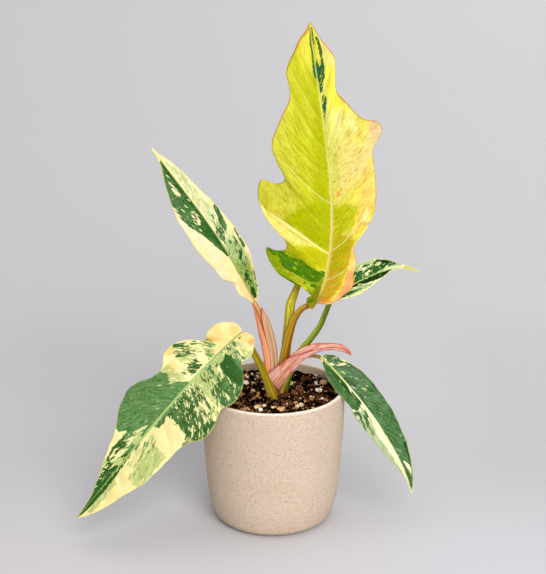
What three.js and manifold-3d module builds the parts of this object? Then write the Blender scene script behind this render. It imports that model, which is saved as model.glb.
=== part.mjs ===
// A potted caramel marble philodendron: six leaves and a pink bract on a short stem, in a plain round pot.
// Millimetres, +Z up. The origin is the centre of the pot's foot. The front, seen in the photograph, faces -Y.
import * as THREE from "three";
import { mergeVertices } from "three/addons/utils/BufferGeometryUtils.js";
import Module from "manifold-3d";

const wasm = await Module();
wasm.setup();

const GAP = 0.3; // between pieces that touch

const POT = {
  height: 118,
  outline: [[42.5, 0], [47.6, 3], [50.6, 8], [55, 25], [58.2, 60], [60, 95], [60, 114]], // radius, height
  outlineSteps: 13, // straight spans that the outline's curve is drawn with
  wall: 3.4,
  floor: 5,
  cornerInset: 8.2, // from the outside to where the inner floor starts
  insideHeights: [11, 28, 60, 95], // where the inner wall has its corners
  rimSteps: 4,
  sides: 40,
};

const SOIL = { top: 110, edgeInset: 6.4, wallHeights: [11, 28, 60, 109] };

// Bark chips and perlite grains that lie half sunk in the soil.
const CRUMBS = {
  count: 72,
  size: [1.8, 3.8], // half the length
  stretch: [[0.8, 1.5], [0.7, 1.1], [0.6, 0.9]], // along x, y and z
  tilt: 0.5,
  height: [-0.2, 0.35], // of the middle over the soil, in half lengths
  reach: 52, // radius of the disc that they lie in
  turn: 2.4, // from one to the next, a sunflower's angle, which spreads them evenly
  turnError: 0.2,
  seed: 41,
};

const STEM = {
  at: [4.5, 1],
  radius: 7.5,
  top: 114,
  outline: [ // share of the radius, depth under the top
    [0, 50], [0.6, 49], [0.9, 45], [1, 36], [0.94, 26], [1, 16], [0.94, 7], [0.8, 3], [0.45, 0.6], [0, 0],
  ],
  sides: 16,
};

const BLADE = {
  thickness: 0.9,
  bend: 1.35, // how soon a side vein turns towards the tip
  pleat: 0.35, // how far the blade puffs up between two side veins
  ribWidth: 2.2, // half the width of the midrib's ridge under the blade
  ribShare: 0.25, // and the most that it takes of half a blade
  steps: 2, // rows of points for each listed vein
};

const STALK = { sides: 10, steps: 2, grooveShare: 0.42, grooveSharpness: 4 };

// A leaf's blade lies round its midrib, a cubic curve from base to tip. "faces" is where its upper side looks, at
// the base and at the tip. Seen so, with the tip up, each row of "veins" is a pair of side veins: where they leave the
// midrib, how far along and how far out the left one ends, and the same for the right one. "fold" is how far the
// left and the right half rise, in degrees, and "droop" bends them back. Each of "waves" pushes the margin of one
// half (-1 left, 1 right) up by "lift", round one row. "rib" is how high the midrib stands under the blade.
// Each row of a stalk's "route" is a point, then its width and depth there. Its groove is on its "face" side.
const LEAVES = {
  caramel_leaf: {
    color: 0xc9cf3a,
    midrib: [[36.3, -4, 193.7], [63.6, 2, 253.1], [37.1, 20, 351.6], [29.8, 42, 417.6]],
    faces: [[-0.36, -0.92, 0.1], [-0.3, -0.93, 0.2]],
    fold: [18, 18],
    droop: 0.0022,
    rib: 3,
    veins: [
      [0, -5, 0.5, 0.5, 2], [1, -6.5, 2, 3.5, 9.5], [2.5, -2.5, 7.5, 6.5, 13], [4, 2, 8, 10, 16],
      [5.5, 4, 7, 14, 18.5], [8, 7.5, 15, 19, 22.5], [10.5, 8, 24, 22.5, 24], [13, 13, 39.5, 27, 24],
      [15, 27, 51, 30.5, 23], [17, 39, 53.5, 35.5, 24], [20, 37.5, 46, 40, 24.5], [23.5, 41, 37, 46, 23],
      [27, 51, 38.5, 50, 21.5], [31, 61, 47, 55.5, 23.5], [35.5, 76.5, 57, 66.5, 31.5],
      [39.5, 92.5, 61.5, 75.5, 36.5], [43, 107, 58.5, 84.5, 39], [47, 106.5, 52, 94, 40],
      [50.5, 103.5, 43.5, 98, 40], [56, 107, 36.5, 102.5, 40], [63, 117, 39, 107.5, 40.5],
      [71.5, 126, 41.5, 112, 40.5], [77, 133.5, 42.5, 117, 40.5], [86, 141, 42, 122.5, 40.5],
      [95.5, 149.5, 38, 129, 43.5], [104.5, 158, 33, 136, 50], [112, 165.5, 28.5, 142, 51.5],
      [117.5, 171.5, 25, 147, 47], [122.5, 178, 23.5, 150.5, 35], [130, 186.5, 23.5, 166, 20.5],
      [137.5, 195, 24, 173.5, 15], [147.5, 202, 21, 181.5, 15], [158.5, 210, 16, 191.5, 17],
      [171, 216, 12, 200.5, 18], [183, 221.5, 8, 208, 14.5], [204, 226.5, 3.5, 217.5, 8],
      [232, 232, 0.5, 232, 0.5],
    ],
    waves: [
      { half: -1, row: 2.5, reach: 2, lift: 3 }, // the small curl at the foot
      { half: -1, row: 9.5, reach: 5, lift: -6 }, // the green basal lobe
      { half: -1, row: 12.5, reach: 2, lift: 2 },
      { half: -1, row: 16, reach: 4, lift: -5 }, // the large left lobe
      { half: -1, row: 23, reach: 5, lift: 3 },
      { half: -1, row: 30, reach: 4, lift: -2 },
      { half: 1, row: 6, reach: 6, lift: -6 }, // the peach basal lobe
      { half: 1, row: 17, reach: 5, lift: -3 },
      { half: 1, row: 26, reach: 3.5, lift: 5 }, // the right shoulder
      { half: 1, row: 30.5, reach: 3, lift: -3 },
    ],
    stalk: {
      color: 0xa8762a,
      face: [-0.8, -0.6, 0.3],
      groove: 0.6,
      route: [
        [6.5, 2, 108, 9, 8.5], [8, 2, 126, 9.6, 8.6], [9.7, 2, 145, 8.8, 7.6], [13.5, 1, 164.5, 7.6, 6.6],
        [18, 0.8, 178.5, 6, 5.6], [24, 0.6, 187, 5, 4.8], [31, 0.8, 190.5, 4.6, 4.4],
        [36.5, 0.5, 194.5, 4.2, 3.6], [38.5, 0.4, 199, 3.2, 2.6],
      ],
    },
  },
  left_leaf: {
    color: 0x7da05a,
    midrib: [[-15.7, 2, 193.2], [-42.3, 6, 249.3], [-68.1, 18, 274.7], [-99.5, 30, 316.4]],
    faces: [[0.25, -0.9, 0.35], [0.25, -0.85, 0.45]],
    fold: [14, 14],
    droop: 0.003,
    rib: 2.2,
    veins: [
      [0, -1.5, 2, -1, 1], [2, 4, 4, 1, 4], [6.5, 11, 8.5, 8, 7.5], [11, 17, 9, 15, 9.5],
      [14, 20.5, 8, 22.5, 11.5], [16.5, 24.5, 10.5, 30.5, 13.5], [20.5, 30.5, 15.5, 38.5, 16],
      [28.5, 41.5, 17.5, 46.5, 16.5], [38.5, 53.5, 20, 56, 16.5], [49, 65.5, 21.5, 66.5, 16],
      [62.5, 78.5, 20.5, 79, 15], [76.5, 92.5, 19.5, 89.5, 13.5], [90.5, 105, 16, 100.5, 11],
      [105.5, 117, 11.5, 112.5, 9.5], [120, 128, 7, 125.5, 7.5], [132.5, 135.5, 3, 136.5, 5],
      [143, 144, 1, 145, 2], [152, 152, 0.5, 152, 0.5],
    ],
    waves: [
      { half: -1, row: 4, reach: 3, lift: -1.5 },
      { half: -1, row: 8, reach: 3, lift: 1.5 },
      { half: -1, row: 12, reach: 3, lift: -1.5 },
      { half: 1, row: 5, reach: 3, lift: 1.5 },
      { half: 1, row: 9.5, reach: 3, lift: -1.5 },
      { half: 1, row: 13, reach: 3, lift: 1 },
    ],
    stalk: {
      color: 0xd2946c,
      face: [0.3, -0.95, 0.1],
      groove: 1.9, // the two sheath wings stand up at its sides
      route: [
        [0, -0.5, 107, 9.5, 6], [-0.8, -1.3, 119.5, 10, 5.6], [-1.3, -1.8, 135, 10.5, 5.2],
        [-2.7, -1.4, 151, 11.8, 5], [-5.8, -0.5, 166, 11.6, 4.6], [-9.3, 0.7, 178, 9.4, 4],
        [-12.8, 1.9, 187, 5.2, 3.4], [-15.5, 3.4, 192, 3.8, 3], [-18.5, 4.2, 198, 2.8, 2.2],
      ],
    },
  },
  front_leaf: {
    color: 0x86a262,
    midrib: [[-26.4, -8, 168.7], [-73.9, -30, 132.3], [-114.9, -50, 80.3], [-161.1, -66, 28.1]],
    faces: [[-0.15, -0.55, 0.82], [-0.25, -0.6, 0.75]],
    fold: [8, 8],
    droop: 0.002,
    rib: 2.6,
    veins: [
      [0, -3, 2, -2, 1.5], [1, -4.5, 7, -3, 5], [2.5, -4.5, 13, -2.5, 8], [4, 0, 17, 2, 14],
      [6, 5.5, 22, 9.5, 19], [8, 12.5, 23, 16.5, 20.5], [10, 17, 22, 21.5, 19], [12, 21, 27, 24, 18],
      [17, 25.5, 34, 30, 25.5], [22, 33, 39.5, 36, 32.5], [27.5, 41, 42.5, 45, 37],
      [34, 50.5, 42, 54.5, 37], [40, 57.5, 39, 61, 31.5], [45, 63, 42.5, 67, 28],
      [51, 70.5, 46.5, 75.5, 30.5], [57, 78.5, 48.5, 85.5, 38], [65, 87.5, 45.5, 94.5, 42],
      [74, 95, 39, 105, 40.5], [83, 100, 35, 115, 34.5], [97, 112.5, 32.5, 125.5, 26],
      [113, 128.5, 31.5, 138.5, 20], [131, 145.5, 29, 151.5, 15], [151, 162, 22.5, 166, 9.5],
      [174, 181, 15, 181.5, 3.5], [191, 194, 8, 194, 1.5], [203.5, 203.5, 0.5, 203.5, 0.5],
    ],
    waves: [
      { half: -1, row: 4, reach: 3.5, lift: -3 }, // the two basal lobes hang and rise
      { half: 1, row: 4, reach: 3.5, lift: 4 },
      { half: -1, row: 10, reach: 3.5, lift: -3 },
      { half: -1, row: 15, reach: 3, lift: 3 },
      { half: -1, row: 19, reach: 3, lift: -2 },
      { half: 1, row: 8, reach: 2, lift: -2 },
      { half: 1, row: 12, reach: 3, lift: 2 },
      { half: 1, row: 16, reach: 3, lift: -3 },
      { half: 1, row: 20, reach: 3, lift: 1.5 },
    ],
    stalk: {
      color: 0x96963a,
      face: [0.6, 0.5, 0.6],
      groove: 0.8,
      route: [
        [3, -4, 101, 8, 7], [-0.2, -7.6, 111, 10.6, 8.6], [-3.8, -9.2, 123.5, 8.8, 7.8],
        [-8.5, -9.6, 136.5, 7.4, 6.8], [-13.3, -9, 147, 6.8, 6.2], [-17.5, -8, 155, 6.2, 5.6],
        [-21.5, -6.6, 161.5, 5.4, 4.8], [-26, -5.5, 165, 4.4, 3.8], [-31, -7.5, 163.5, 3, 2.6],
      ],
    },
  },
  right_leaf: {
    color: 0x4d8656,
    midrib: [[40, -2, 145.4], [54.3, -10, 132.4], [105.8, -22, 80.6], [116.3, -30, 33.3]],
    faces: [[0.1, -0.55, 0.8], [0.45, -0.7, 0.55]],
    fold: [20, 16],
    droop: 0.002,
    rib: 2,
    veins: [
      [0, 0, 1.5, 0.5, 1.5], [2.5, 2, 4.5, 3.5, 3], [5.5, 6.5, 8, 8, 6], [8.5, 13, 10.5, 13.5, 9],
      [11.5, 21, 13, 21.5, 12.5], [18.5, 31, 15.5, 31.5, 13], [29, 43.5, 16.5, 40, 12.5],
      [40, 59.5, 17, 47.5, 12.5], [49.5, 73.5, 16.5, 55, 16], [62, 86, 15, 67, 16.5],
      [76, 97.5, 13, 80, 15.5], [93, 109.5, 10, 96.5, 12.5], [110, 120.5, 7, 112, 7],
      [126, 130, 4, 127, 1.5], [140.5, 140.5, 0.5, 140.5, 0.5],
    ],
    waves: [
      { half: -1, row: 5, reach: 3, lift: 1.5 },
      { half: -1, row: 9, reach: 3, lift: -1.5 },
      { half: 1, row: 6, reach: 2.5, lift: -1.5 },
      { half: 1, row: 9.5, reach: 2.5, lift: 1.5 },
    ],
    stalk: {
      color: 0xa98a55,
      face: [-0.5, 0.4, 0.8],
      groove: 0.4,
      route: [
        [5, -5, 103, 6, 5.6], [6.4, -4.8, 115, 5.2, 4.8], [11, -4.4, 125.5, 4.6, 4.2],
        [17, -4, 136, 4.2, 3.8], [23.5, -3.8, 144, 4, 3.6], [31, -3, 146.6, 3.8, 3.4],
        [39, -0.8, 144.4, 3.4, 3], [44, -1.8, 139.5, 2.4, 2.2],
      ],
    },
  },
  back_leaf: {
    color: 0x4f8a5c,
    midrib: [[53.5, 18, 193.6], [75, 34, 201.3], [106.2, 52, 213.5], [125.7, 58, 198.8]],
    faces: [[0.05, -0.75, 0.66], [0.35, -0.6, 0.7]],
    fold: [14, 14],
    droop: 0.002,
    rib: 1.8,
    veins: [
      [0, 0, 2.5, -2.5, 1.5], [1, 7, 9.5, -4, 5], [6, 15, 12.5, 3, 8], [11.5, 24.5, 12.5, 14.5, 10],
      [19.5, 35, 12.5, 24, 10], [32, 46.5, 12, 35.5, 8], [46, 56.5, 9, 48, 4.5], [60, 65, 5, 59.5, 1.5],
      [69, 73.5, 2.5, 68, 1.5], [77.5, 80, 1, 78, 1.5], [85.5, 85.5, 0.5, 85.5, 0.5],
    ],
    waves: [
      { half: -1, row: 3, reach: 2, lift: 1.5 },
      { half: -1, row: 6, reach: 2, lift: -1.5 },
      { half: 1, row: 3, reach: 2, lift: -1 },
    ],
    stalk: {
      color: 0x6f9428,
      face: [-0.7, -0.6, 0.4],
      groove: 0.5,
      route: [
        [8, 6, 104, 8, 7], [10, 9, 113, 7.8, 7], [14, 11, 126, 7.2, 6.4], [21.3, 12, 142, 6, 5.6],
        [31.3, 13, 155, 5.2, 5], [39.3, 14.3, 166.5, 5, 4.8], [44.3, 16, 178.5, 4.8, 4.4],
        [47.6, 17.8, 186.5, 4.4, 4], [51.5, 20, 190.8, 3.8, 3.4], [57, 23.5, 193, 2.8, 2.4],
      ],
    },
  },
  hidden_leaf: {
    color: 0x8f9a3c,
    midrib: [[27, 27, 212], [29, 46, 246], [38, 72, 280], [50, 100, 292]],
    faces: [[-0.1, -0.8, 0.55], [0.1, -0.45, 0.9]],
    fold: [14, 14],
    droop: 0.003,
    rib: 2,
    veins: [
      [0, -2, 2, -2, 2], [2, 3, 7, 3, 7], [8, 14, 11.5, 14, 11], [18, 30, 14.5, 30, 14],
      [34, 48, 15, 48, 15], [54, 68, 13, 68, 13], [76, 87, 9, 87, 9], [95, 101, 4.5, 101, 4.5],
      [108, 110, 1.5, 110, 1.5], [115, 115, 0.5, 115, 0.5],
    ],
    waves: [
      { half: -1, row: 3, reach: 2.5, lift: 2 },
      { half: 1, row: 5, reach: 2.5, lift: -2 },
    ],
    stalk: {
      color: 0xb4aa3c,
      face: [-0.5, -0.8, 0.4],
      groove: 1,
      route: [
        [7.5, 6.5, 105, 8, 8], [8.7, 8.6, 115, 8.2, 8], [9.3, 9.3, 129, 8.5, 8],
        [11.3, 10.2, 151, 8.4, 7.4], [13.3, 13, 170.5, 8.4, 6.8], [14.8, 17, 185, 8.2, 6],
        [18.5, 21.5, 194, 6.4, 5], [22.3, 25.5, 203, 5.2, 4.2], [26.8, 29.6, 212, 4.2, 3.4],
        [28.5, 33.5, 219, 3, 2.4],
      ],
    },
  },
};

// A bract is folded like a gutter round its keel, in a roll of "rollRadius", at the base and at the tip. Its walls
// go straight on from where they stand "wallTurn" degrees up. Each row of "veins" is where it leaves the keel,
// then how far along and how wide the far wall and the near wall end, measured round the roll.
const BRACTS = {
  pink_bract: {
    color: 0xdc938a,
    midrib: [[5, -9.5, 119], [11, -11.5, 126], [30, -12.5, 170], [64.5, -22.5, 155]],
    faces: [[-0.75, 0.22, 0.6], [0.2, 0.25, 0.9]],
    rollRadius: [2.5, 1.4],
    wallTurn: 78,
    veins: [
      [0, 2, 5, 5, 17.5], [7, 9, 7.5, 12, 15.5], [14, 16, 9.5, 18, 13.6], [20, 22, 10.8, 23, 12.3],
      [26, 28, 11.6, 28.5, 11], [31, 33, 11.4, 33.5, 8.6], [36.5, 38.5, 10.4, 38.5, 6.2],
      [43, 44.8, 9.4, 44.5, 4.2], [49, 49.5, 8.2, 50, 3.6], [56, 56, 6.5, 56.5, 3.1],
      [63.5, 63.5, 6.2, 64, 3.2], [68.5, 68, 6.1, 70, 3.6], [73, 72, 4.8, 74, 3], [76, 76, 2.8, 76.5, 1.5],
      [78.4, 78.4, 0.5, 78.4, 0.5],
    ],
  },
  bract_remnant: {
    color: 0x7c2c26,
    midrib: [[4.6, -9.6, 110], [5.2, -10.2, 113], [4.6, -10.8, 116], [3.4, -11.2, 119]],
    faces: [[0, 1, 0.2], [0, 1, 0.2]],
    rollRadius: [6, 6],
    wallTurn: 60,
    veins: [[0, 0, 2.6, 0, 2.6], [3, 3, 2.8, 3, 2.8], [6, 6, 1.8, 6, 1.8], [9.3, 9.3, 0.5, 9.3, 0.5]],
  },
};

const vector = (xyz) => new THREE.Vector3(...xyz);

// Rows of numbers, made `steps` times finer by a Catmull-Rom curve through each column.
function refineRows(rows, steps) {
  const last = rows.length - 1;
  const fine = [];
  for (let i = 0; i < last; i++) {
    const [a, b, c, d] = [rows[Math.max(i - 1, 0)], rows[i], rows[i + 1], rows[Math.min(i + 2, last)]];
    for (let k = 0; k < steps; k++) {
      const x = k / steps;
      fine.push(
        b.map((_, n) => {
          const bend = 2 * a[n] - 5 * b[n] + 4 * c[n] - d[n];
          const twist = 3 * (b[n] - c[n]) + d[n] - a[n];
          return b[n] + (x * (c[n] - a[n] + x * (bend + x * twist))) / 2;
        }),
      );
    }
  }
  fine.push(rows[last]);
  return fine;
}

// A closed solid's geometry from points and faces of three or four of them, counter-clockwise from outside.
function geometryOf(points, faces) {
  const geometry = new THREE.BufferGeometry().setFromPoints(points);
  geometry.setIndex(faces.flatMap(([a, b, c, d]) => (d === undefined ? [a, b, c] : [a, b, c, a, c, d])));
  return geometry;
}

// Two grids of points, the upper and the lower face of a sheet, joined round their border.
function sheetGeometry(upper, lower) {
  const rows = upper.length;
  const columns = upper[0].length;
  const half = rows * columns;
  const id = (i, j) => i * columns + j;
  const faces = [];
  for (let i = 0; i < rows - 1; i++)
    for (let j = 0; j < columns - 1; j++) {
      const [a, b, c, d] = [id(i, j), id(i, j + 1), id(i + 1, j + 1), id(i + 1, j)];
      faces.push([a, b, c], [a, c, d], [half + a, half + c, half + b], [half + a, half + d, half + c]);
    }
  const border = [];
  for (let j = 0; j < columns - 1; j++) border.push(id(0, j));
  for (let i = 0; i < rows - 1; i++) border.push(id(i, columns - 1));
  for (let j = columns - 1; j > 0; j--) border.push(id(rows - 1, j));
  for (let i = rows - 1; i > 0; i--) border.push(id(i, 0));
  border.forEach((p, k) => {
    const q = border[(k + 1) % border.length];
    faces.push([p, half + p, half + q, q]);
  });
  return geometryOf([...upper.flat(), ...lower.flat()], faces);
}

// Rings of points along a stalk, closed by a fan at each end.
function tubeGeometry(rings) {
  const sides = rings[0].length;
  const last = rings.length - 1;
  const id = (i, j) => i * sides + (j % sides);
  const middle = (ring) => ring.reduce((sum, p) => sum.add(p), new THREE.Vector3()).divideScalar(sides);
  const [foot, head] = [rings.length * sides, rings.length * sides + 1];
  const faces = [];
  for (let j = 0; j < sides; j++) {
    for (let i = 0; i < last; i++) faces.push([id(i, j), id(i + 1, j), id(i + 1, j + 1), id(i, j + 1)]);
    faces.push([foot, id(0, j), id(0, j + 1)], [head, id(last, j + 1), id(last, j)]);
  }
  return geometryOf([...rings.flat(), middle(rings[0]), middle(rings[last])], faces);
}

// Where a leaf's midrib is at a length along it, with its direction, its face and its side direction.
function midribFrame(leaf, along) {
  leaf.curve ??= new THREE.CubicBezierCurve3(...leaf.midrib.map(vector));
  const length = leaf.curve.getLength();
  const u = THREE.MathUtils.clamp(along / length, 0, 1);
  const tangent = leaf.curve.getTangentAt(u);
  const origin = leaf.curve.getPointAt(u).addScaledVector(tangent, along - u * length);
  const face = vector(leaf.faces[0]).normalize().lerp(vector(leaf.faces[1]).normalize(), u);
  face.addScaledVector(tangent, -face.dot(tangent)).normalize();
  return { origin, face, side: tangent.clone().cross(face), u };
}

// How far a blade rises at `out` from the midrib, on the vein that ends at the share `v` of its length.
function bladeLift(leaf, half, row, v, out) {
  let lift = Math.tan(THREE.MathUtils.degToRad(leaf.fold[half < 0 ? 0 : 1])) * out - leaf.droop * out ** 2;
  for (const wave of leaf.waves) {
    const x = (row - wave.row) / wave.reach;
    if (wave.half === half && Math.abs(x) < 1) lift += wave.lift * (1 - x * x) ** 2 * v * v;
  }
  return lift + BLADE.pleat * Math.sin(Math.PI * row) ** 2 * Math.sin(Math.PI * v);
}

// A point of the middle surface of a blade or a bract, and the direction from it to the upper face.
function surfacePoint(leaf, half, row, [start, leftAlong, leftOut, rightAlong, rightOut], v) {
  const [end, width] = half < 0 ? [leftAlong, leftOut] : [rightAlong, rightOut];
  const { origin, face, side, u } = midribFrame(leaf, start + (end - start) * v ** BLADE.bend);
  let across = width * v;
  let lift;
  let turn = 0;
  if (leaf.rollRadius) {
    const radius = THREE.MathUtils.lerp(...leaf.rollRadius, u);
    turn = Math.min(across / radius, THREE.MathUtils.degToRad(leaf.wallTurn));
    const straight = across - radius * turn;
    lift = radius * (1 - Math.cos(turn)) + straight * Math.sin(turn);
    across = radius * Math.sin(turn) + straight * Math.cos(turn);
  } else lift = bladeLift(leaf, half, row, v, across);
  const up = face.clone().multiplyScalar(Math.cos(turn)).addScaledVector(side, -half * Math.sin(turn));
  return { middle: origin.addScaledVector(side, half * across).addScaledVector(face, lift), up };
}

// A blade or a bract as a closed sheet, `grow` thicker on both faces. The midrib is a ridge on the lower face.
function leafGeometry(leaf, grow = 0) {
  const veins = refineRows(leaf.veins, BLADE.steps);
  const body = BLADE.thickness / 2 + grow;
  const upper = [];
  const lower = [];
  veins.forEach((vein, i) => {
    const row = i / BLADE.steps;
    const across = (half, width) => {
      const inner = Math.min(BLADE.ribWidth / width, BLADE.ribShare);
      return [inner, (inner + 1) / 2, 1].map((v) => surfacePoint(leaf, half, row, vein, v));
    };
    const centre = surfacePoint(leaf, 1, row, vein, 0);
    const points = [...across(-1, vein[2]).reverse(), centre, ...across(1, vein[4])];
    const rib = (leaf.rib ?? 0) * (1 - i / veins.length);
    upper.push(points.map((p) => p.middle.clone().addScaledVector(p.up, body)));
    lower.push(points.map((p) => p.middle.clone().addScaledVector(p.up, -body - (p === centre ? rib : 0))));
  });
  return sheetGeometry(upper, lower);
}

// A stalk: an oval with a groove, swept along its route.
function stalkGeometry(stalk, grow = 0) {
  const route = refineRows(stalk.route, STALK.steps);
  const place = (i) => vector(route[THREE.MathUtils.clamp(i, 0, route.length - 1)].slice(0, 3));
  const rings = route.map(([, , , width, depth], i) => {
    const tangent = place(i + 1).sub(place(i - 1)).normalize();
    const face = vector(stalk.face);
    face.addScaledVector(tangent, -face.dot(tangent)).normalize();
    const side = tangent.clone().cross(face);
    const groove = Math.min(stalk.groove, depth * STALK.grooveShare);
    return Array.from({ length: STALK.sides }, (_, k) => {
      const angle = (2 * Math.PI * (k + 0.5)) / STALK.sides;
      const dent = groove * Math.max(Math.sin(angle), 0) ** STALK.grooveSharpness;
      return place(i)
        .addScaledVector(side, Math.cos(angle) * (width / 2 + grow))
        .addScaledVector(face, Math.sin(angle) * (depth / 2 + grow) - dent);
    });
  });
  return tubeGeometry(rings);
}

const point2 = (pair) => new THREE.Vector2(...pair);

// The outside radius of the pot at a height, from its outline.
const potProfile = new THREE.SplineCurve(POT.outline.map(point2)).getPoints(POT.outlineSteps);
function potRadius(height) {
  const k = potProfile.findIndex((p) => p.y >= height);
  const [low, high] = [potProfile[Math.max(k - 1, 0)], potProfile[Math.max(k, 1)]];
  return THREE.MathUtils.mapLinear(height, low.y, high.y, low.x, high.x);
}

function turned(points, sides) {
  return new THREE.LatheGeometry(points, sides).rotateX(Math.PI / 2);
}

function potGeometry() {
  const lip = POT.wall / 2;
  const [, lastHeight] = POT.outline[POT.outline.length - 1];
  const rim = Array.from({ length: POT.rimSteps + 1 }, (_, k) => {
    const angle = (Math.PI * k) / POT.rimSteps;
    const [middle, height] = [potRadius(lastHeight) - lip, POT.height - lip];
    return point2([middle + lip * Math.cos(angle), height + lip * Math.sin(angle)]);
  });
  const inside = POT.insideHeights.toReversed().map((z) => point2([potRadius(z) - POT.wall, z]));
  const corner = point2([potRadius(POT.floor) - POT.cornerInset, POT.floor]);
  const outside = [point2([0, 0]), ...potProfile.slice(0, -1)];
  return turned([...outside, ...rim, ...inside, corner, point2([0, POT.floor])], POT.sides);
}

// The block of soil, with the inside of the pot as its outline.
function soilGeometry() {
  const floor = POT.floor + GAP;
  const corner = point2([potRadius(POT.floor) - POT.cornerInset - GAP, floor]);
  const wall = SOIL.wallHeights.map((z) => point2([potRadius(z) - POT.wall - GAP, z]));
  const edge = point2([potRadius(SOIL.top) - SOIL.edgeInset, SOIL.top]);
  return turned([point2([0, floor]), corner, ...wall, edge, point2([0, SOIL.top])], POT.sides);
}

function crumbGeometries() {
  const modulus = 2147483647; // of a plain multiplying random generator
  let state = CRUMBS.seed;
  const draw = (low, high) => {
    state = (state * 16807) % modulus;
    return THREE.MathUtils.mapLinear(state, 0, modulus, low, high);
  };
  return Array.from({ length: CRUMBS.count }, (_, k) => {
    const size = draw(...CRUMBS.size);
    const stretch = CRUMBS.stretch.map((range) => draw(...range));
    const lump = new THREE.IcosahedronGeometry(size, 0).scale(...stretch);
    lump.rotateZ(draw(0, Math.PI)).rotateX(draw(-CRUMBS.tilt, CRUMBS.tilt));
    const radius = CRUMBS.reach * Math.sqrt((k + 0.5) / CRUMBS.count);
    const turn = k * CRUMBS.turn + draw(-CRUMBS.turnError, CRUMBS.turnError);
    const height = SOIL.top + draw(...CRUMBS.height) * size;
    return lump.translate(radius * Math.cos(turn), radius * Math.sin(turn), height);
  });
}

function stemGeometry(grow = 0) {
  const outline = STEM.outline.map(([share, depth], i) => {
    const onAxis = share === 0;
    const end = i === 0 ? -grow : grow;
    return point2([onAxis ? 0 : share * STEM.radius + grow, STEM.top - depth + (onAxis ? end : 0)]);
  });
  return turned(outline, STEM.sides).translate(...STEM.at, 0);
}

function toSolid(geometry) {
  const bare = new THREE.BufferGeometry().setAttribute("position", geometry.getAttribute("position"));
  bare.setIndex(geometry.index);
  const merged = mergeVertices(bare, 1e-4);
  return new wasm.Manifold(
    new wasm.Mesh({
      numProp: 3,
      vertProperties: merged.attributes.position.array,
      triVerts: new Uint32Array(merged.index.array),
    }),
  );
}

function toGeometry(solid) {
  const { numProp, vertProperties, triVerts } = solid.getMesh();
  const positions = [];
  for (let i = 0; i < vertProperties.length; i += numProp) {
    positions.push(...vertProperties.subarray(i, i + 3));
  }
  const geometry = new THREE.BufferGeometry();
  geometry.setAttribute("position", new THREE.Float32BufferAttribute(positions, 3));
  return geometry.setIndex([...triVerts]);
}

// What is left of a solid without the cuts: its largest piece, with no loose scraps.
function cutBack(solid, cuts) {
  const rest = cuts.reduce((left, cut) => left.subtract(cut), solid);
  return rest.decompose().reduce((a, b) => (b.volume() > a.volume() ? b : a));
}

const group = new THREE.Group();

function addMesh(name, solid, color, roughness) {
  const mesh = new THREE.Mesh(
    toGeometry(solid),
    new THREE.MeshStandardMaterial({ color, roughness, metalness: 0 }),
  );
  mesh.name = name;
  group.add(mesh);
}

// Each piece of the crown is cut back from the pieces before it, which are grown by the gap for that.
const crownCuts = [toSolid(stemGeometry(GAP))];
const bladeCuts = Object.values(LEAVES).map((leaf) => toSolid(leafGeometry(leaf, GAP)));

addMesh("pot", toSolid(potGeometry()), 0xdec8b0, 0.75);
addMesh("stem", toSolid(stemGeometry()), 0x8c7a46, 0.7);

for (const [name, leaf] of Object.entries(LEAVES)) {
  addMesh(name + "_blade", toSolid(leafGeometry(leaf)), leaf.color, 0.45);
  const stalk = cutBack(toSolid(stalkGeometry(leaf.stalk)), [...crownCuts, ...bladeCuts]);
  addMesh(name + "_stalk", stalk, leaf.stalk.color, 0.5);
  crownCuts.push(toSolid(stalkGeometry(leaf.stalk, GAP)));
}
for (const [name, bract] of Object.entries(BRACTS)) {
  addMesh(name, cutBack(toSolid(leafGeometry(bract)), crownCuts), bract.color, 0.5);
  crownCuts.push(toSolid(leafGeometry(bract, GAP)));
}

// The soil goes round whatever stands in it.
const ground = wasm.Manifold.union([toSolid(soilGeometry()), ...crumbGeometries().map(toSolid)]);
addMesh("soil", cutBack(ground, crownCuts), 0x3a2a22, 0.95);

export default group;
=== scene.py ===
# Potted caramel marble philodendron, finished over its fixed frame.
# The frame and the finished meshes are in metres, +Z up. Tables of shape are in millimetres, and
# makePiece() scales them. Colours are tables of three numbers, as picked on screen. The front of the plant
# looks towards -Y.
import math
import random

import bmesh
import bpy
import numpy as np
from mathutils import Matrix, Vector


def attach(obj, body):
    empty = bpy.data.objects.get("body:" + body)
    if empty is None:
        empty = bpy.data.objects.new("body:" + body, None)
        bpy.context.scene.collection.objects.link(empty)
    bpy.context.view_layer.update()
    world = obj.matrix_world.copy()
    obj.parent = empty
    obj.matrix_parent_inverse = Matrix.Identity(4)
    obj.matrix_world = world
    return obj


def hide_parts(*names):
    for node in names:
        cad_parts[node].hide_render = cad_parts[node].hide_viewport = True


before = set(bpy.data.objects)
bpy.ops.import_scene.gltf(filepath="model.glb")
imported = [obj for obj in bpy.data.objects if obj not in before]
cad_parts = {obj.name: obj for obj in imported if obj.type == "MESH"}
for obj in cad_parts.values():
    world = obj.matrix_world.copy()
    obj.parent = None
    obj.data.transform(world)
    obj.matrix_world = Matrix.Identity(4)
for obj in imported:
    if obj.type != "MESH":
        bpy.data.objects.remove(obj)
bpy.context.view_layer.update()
print("frame loaded,", len(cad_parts), "nodes")

mm = 0.001


# Colour and shader helpers

def tone(picked):
    # a picked colour made linear; one with a fourth number is linear already
    if len(picked) > 3:
        return picked
    parts = [v / 255 / 12.92 if v <= 10 else ((v / 255 + 0.055) / 1.055) ** 2.4 for v in picked]
    return (*parts, 1.0)


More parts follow.
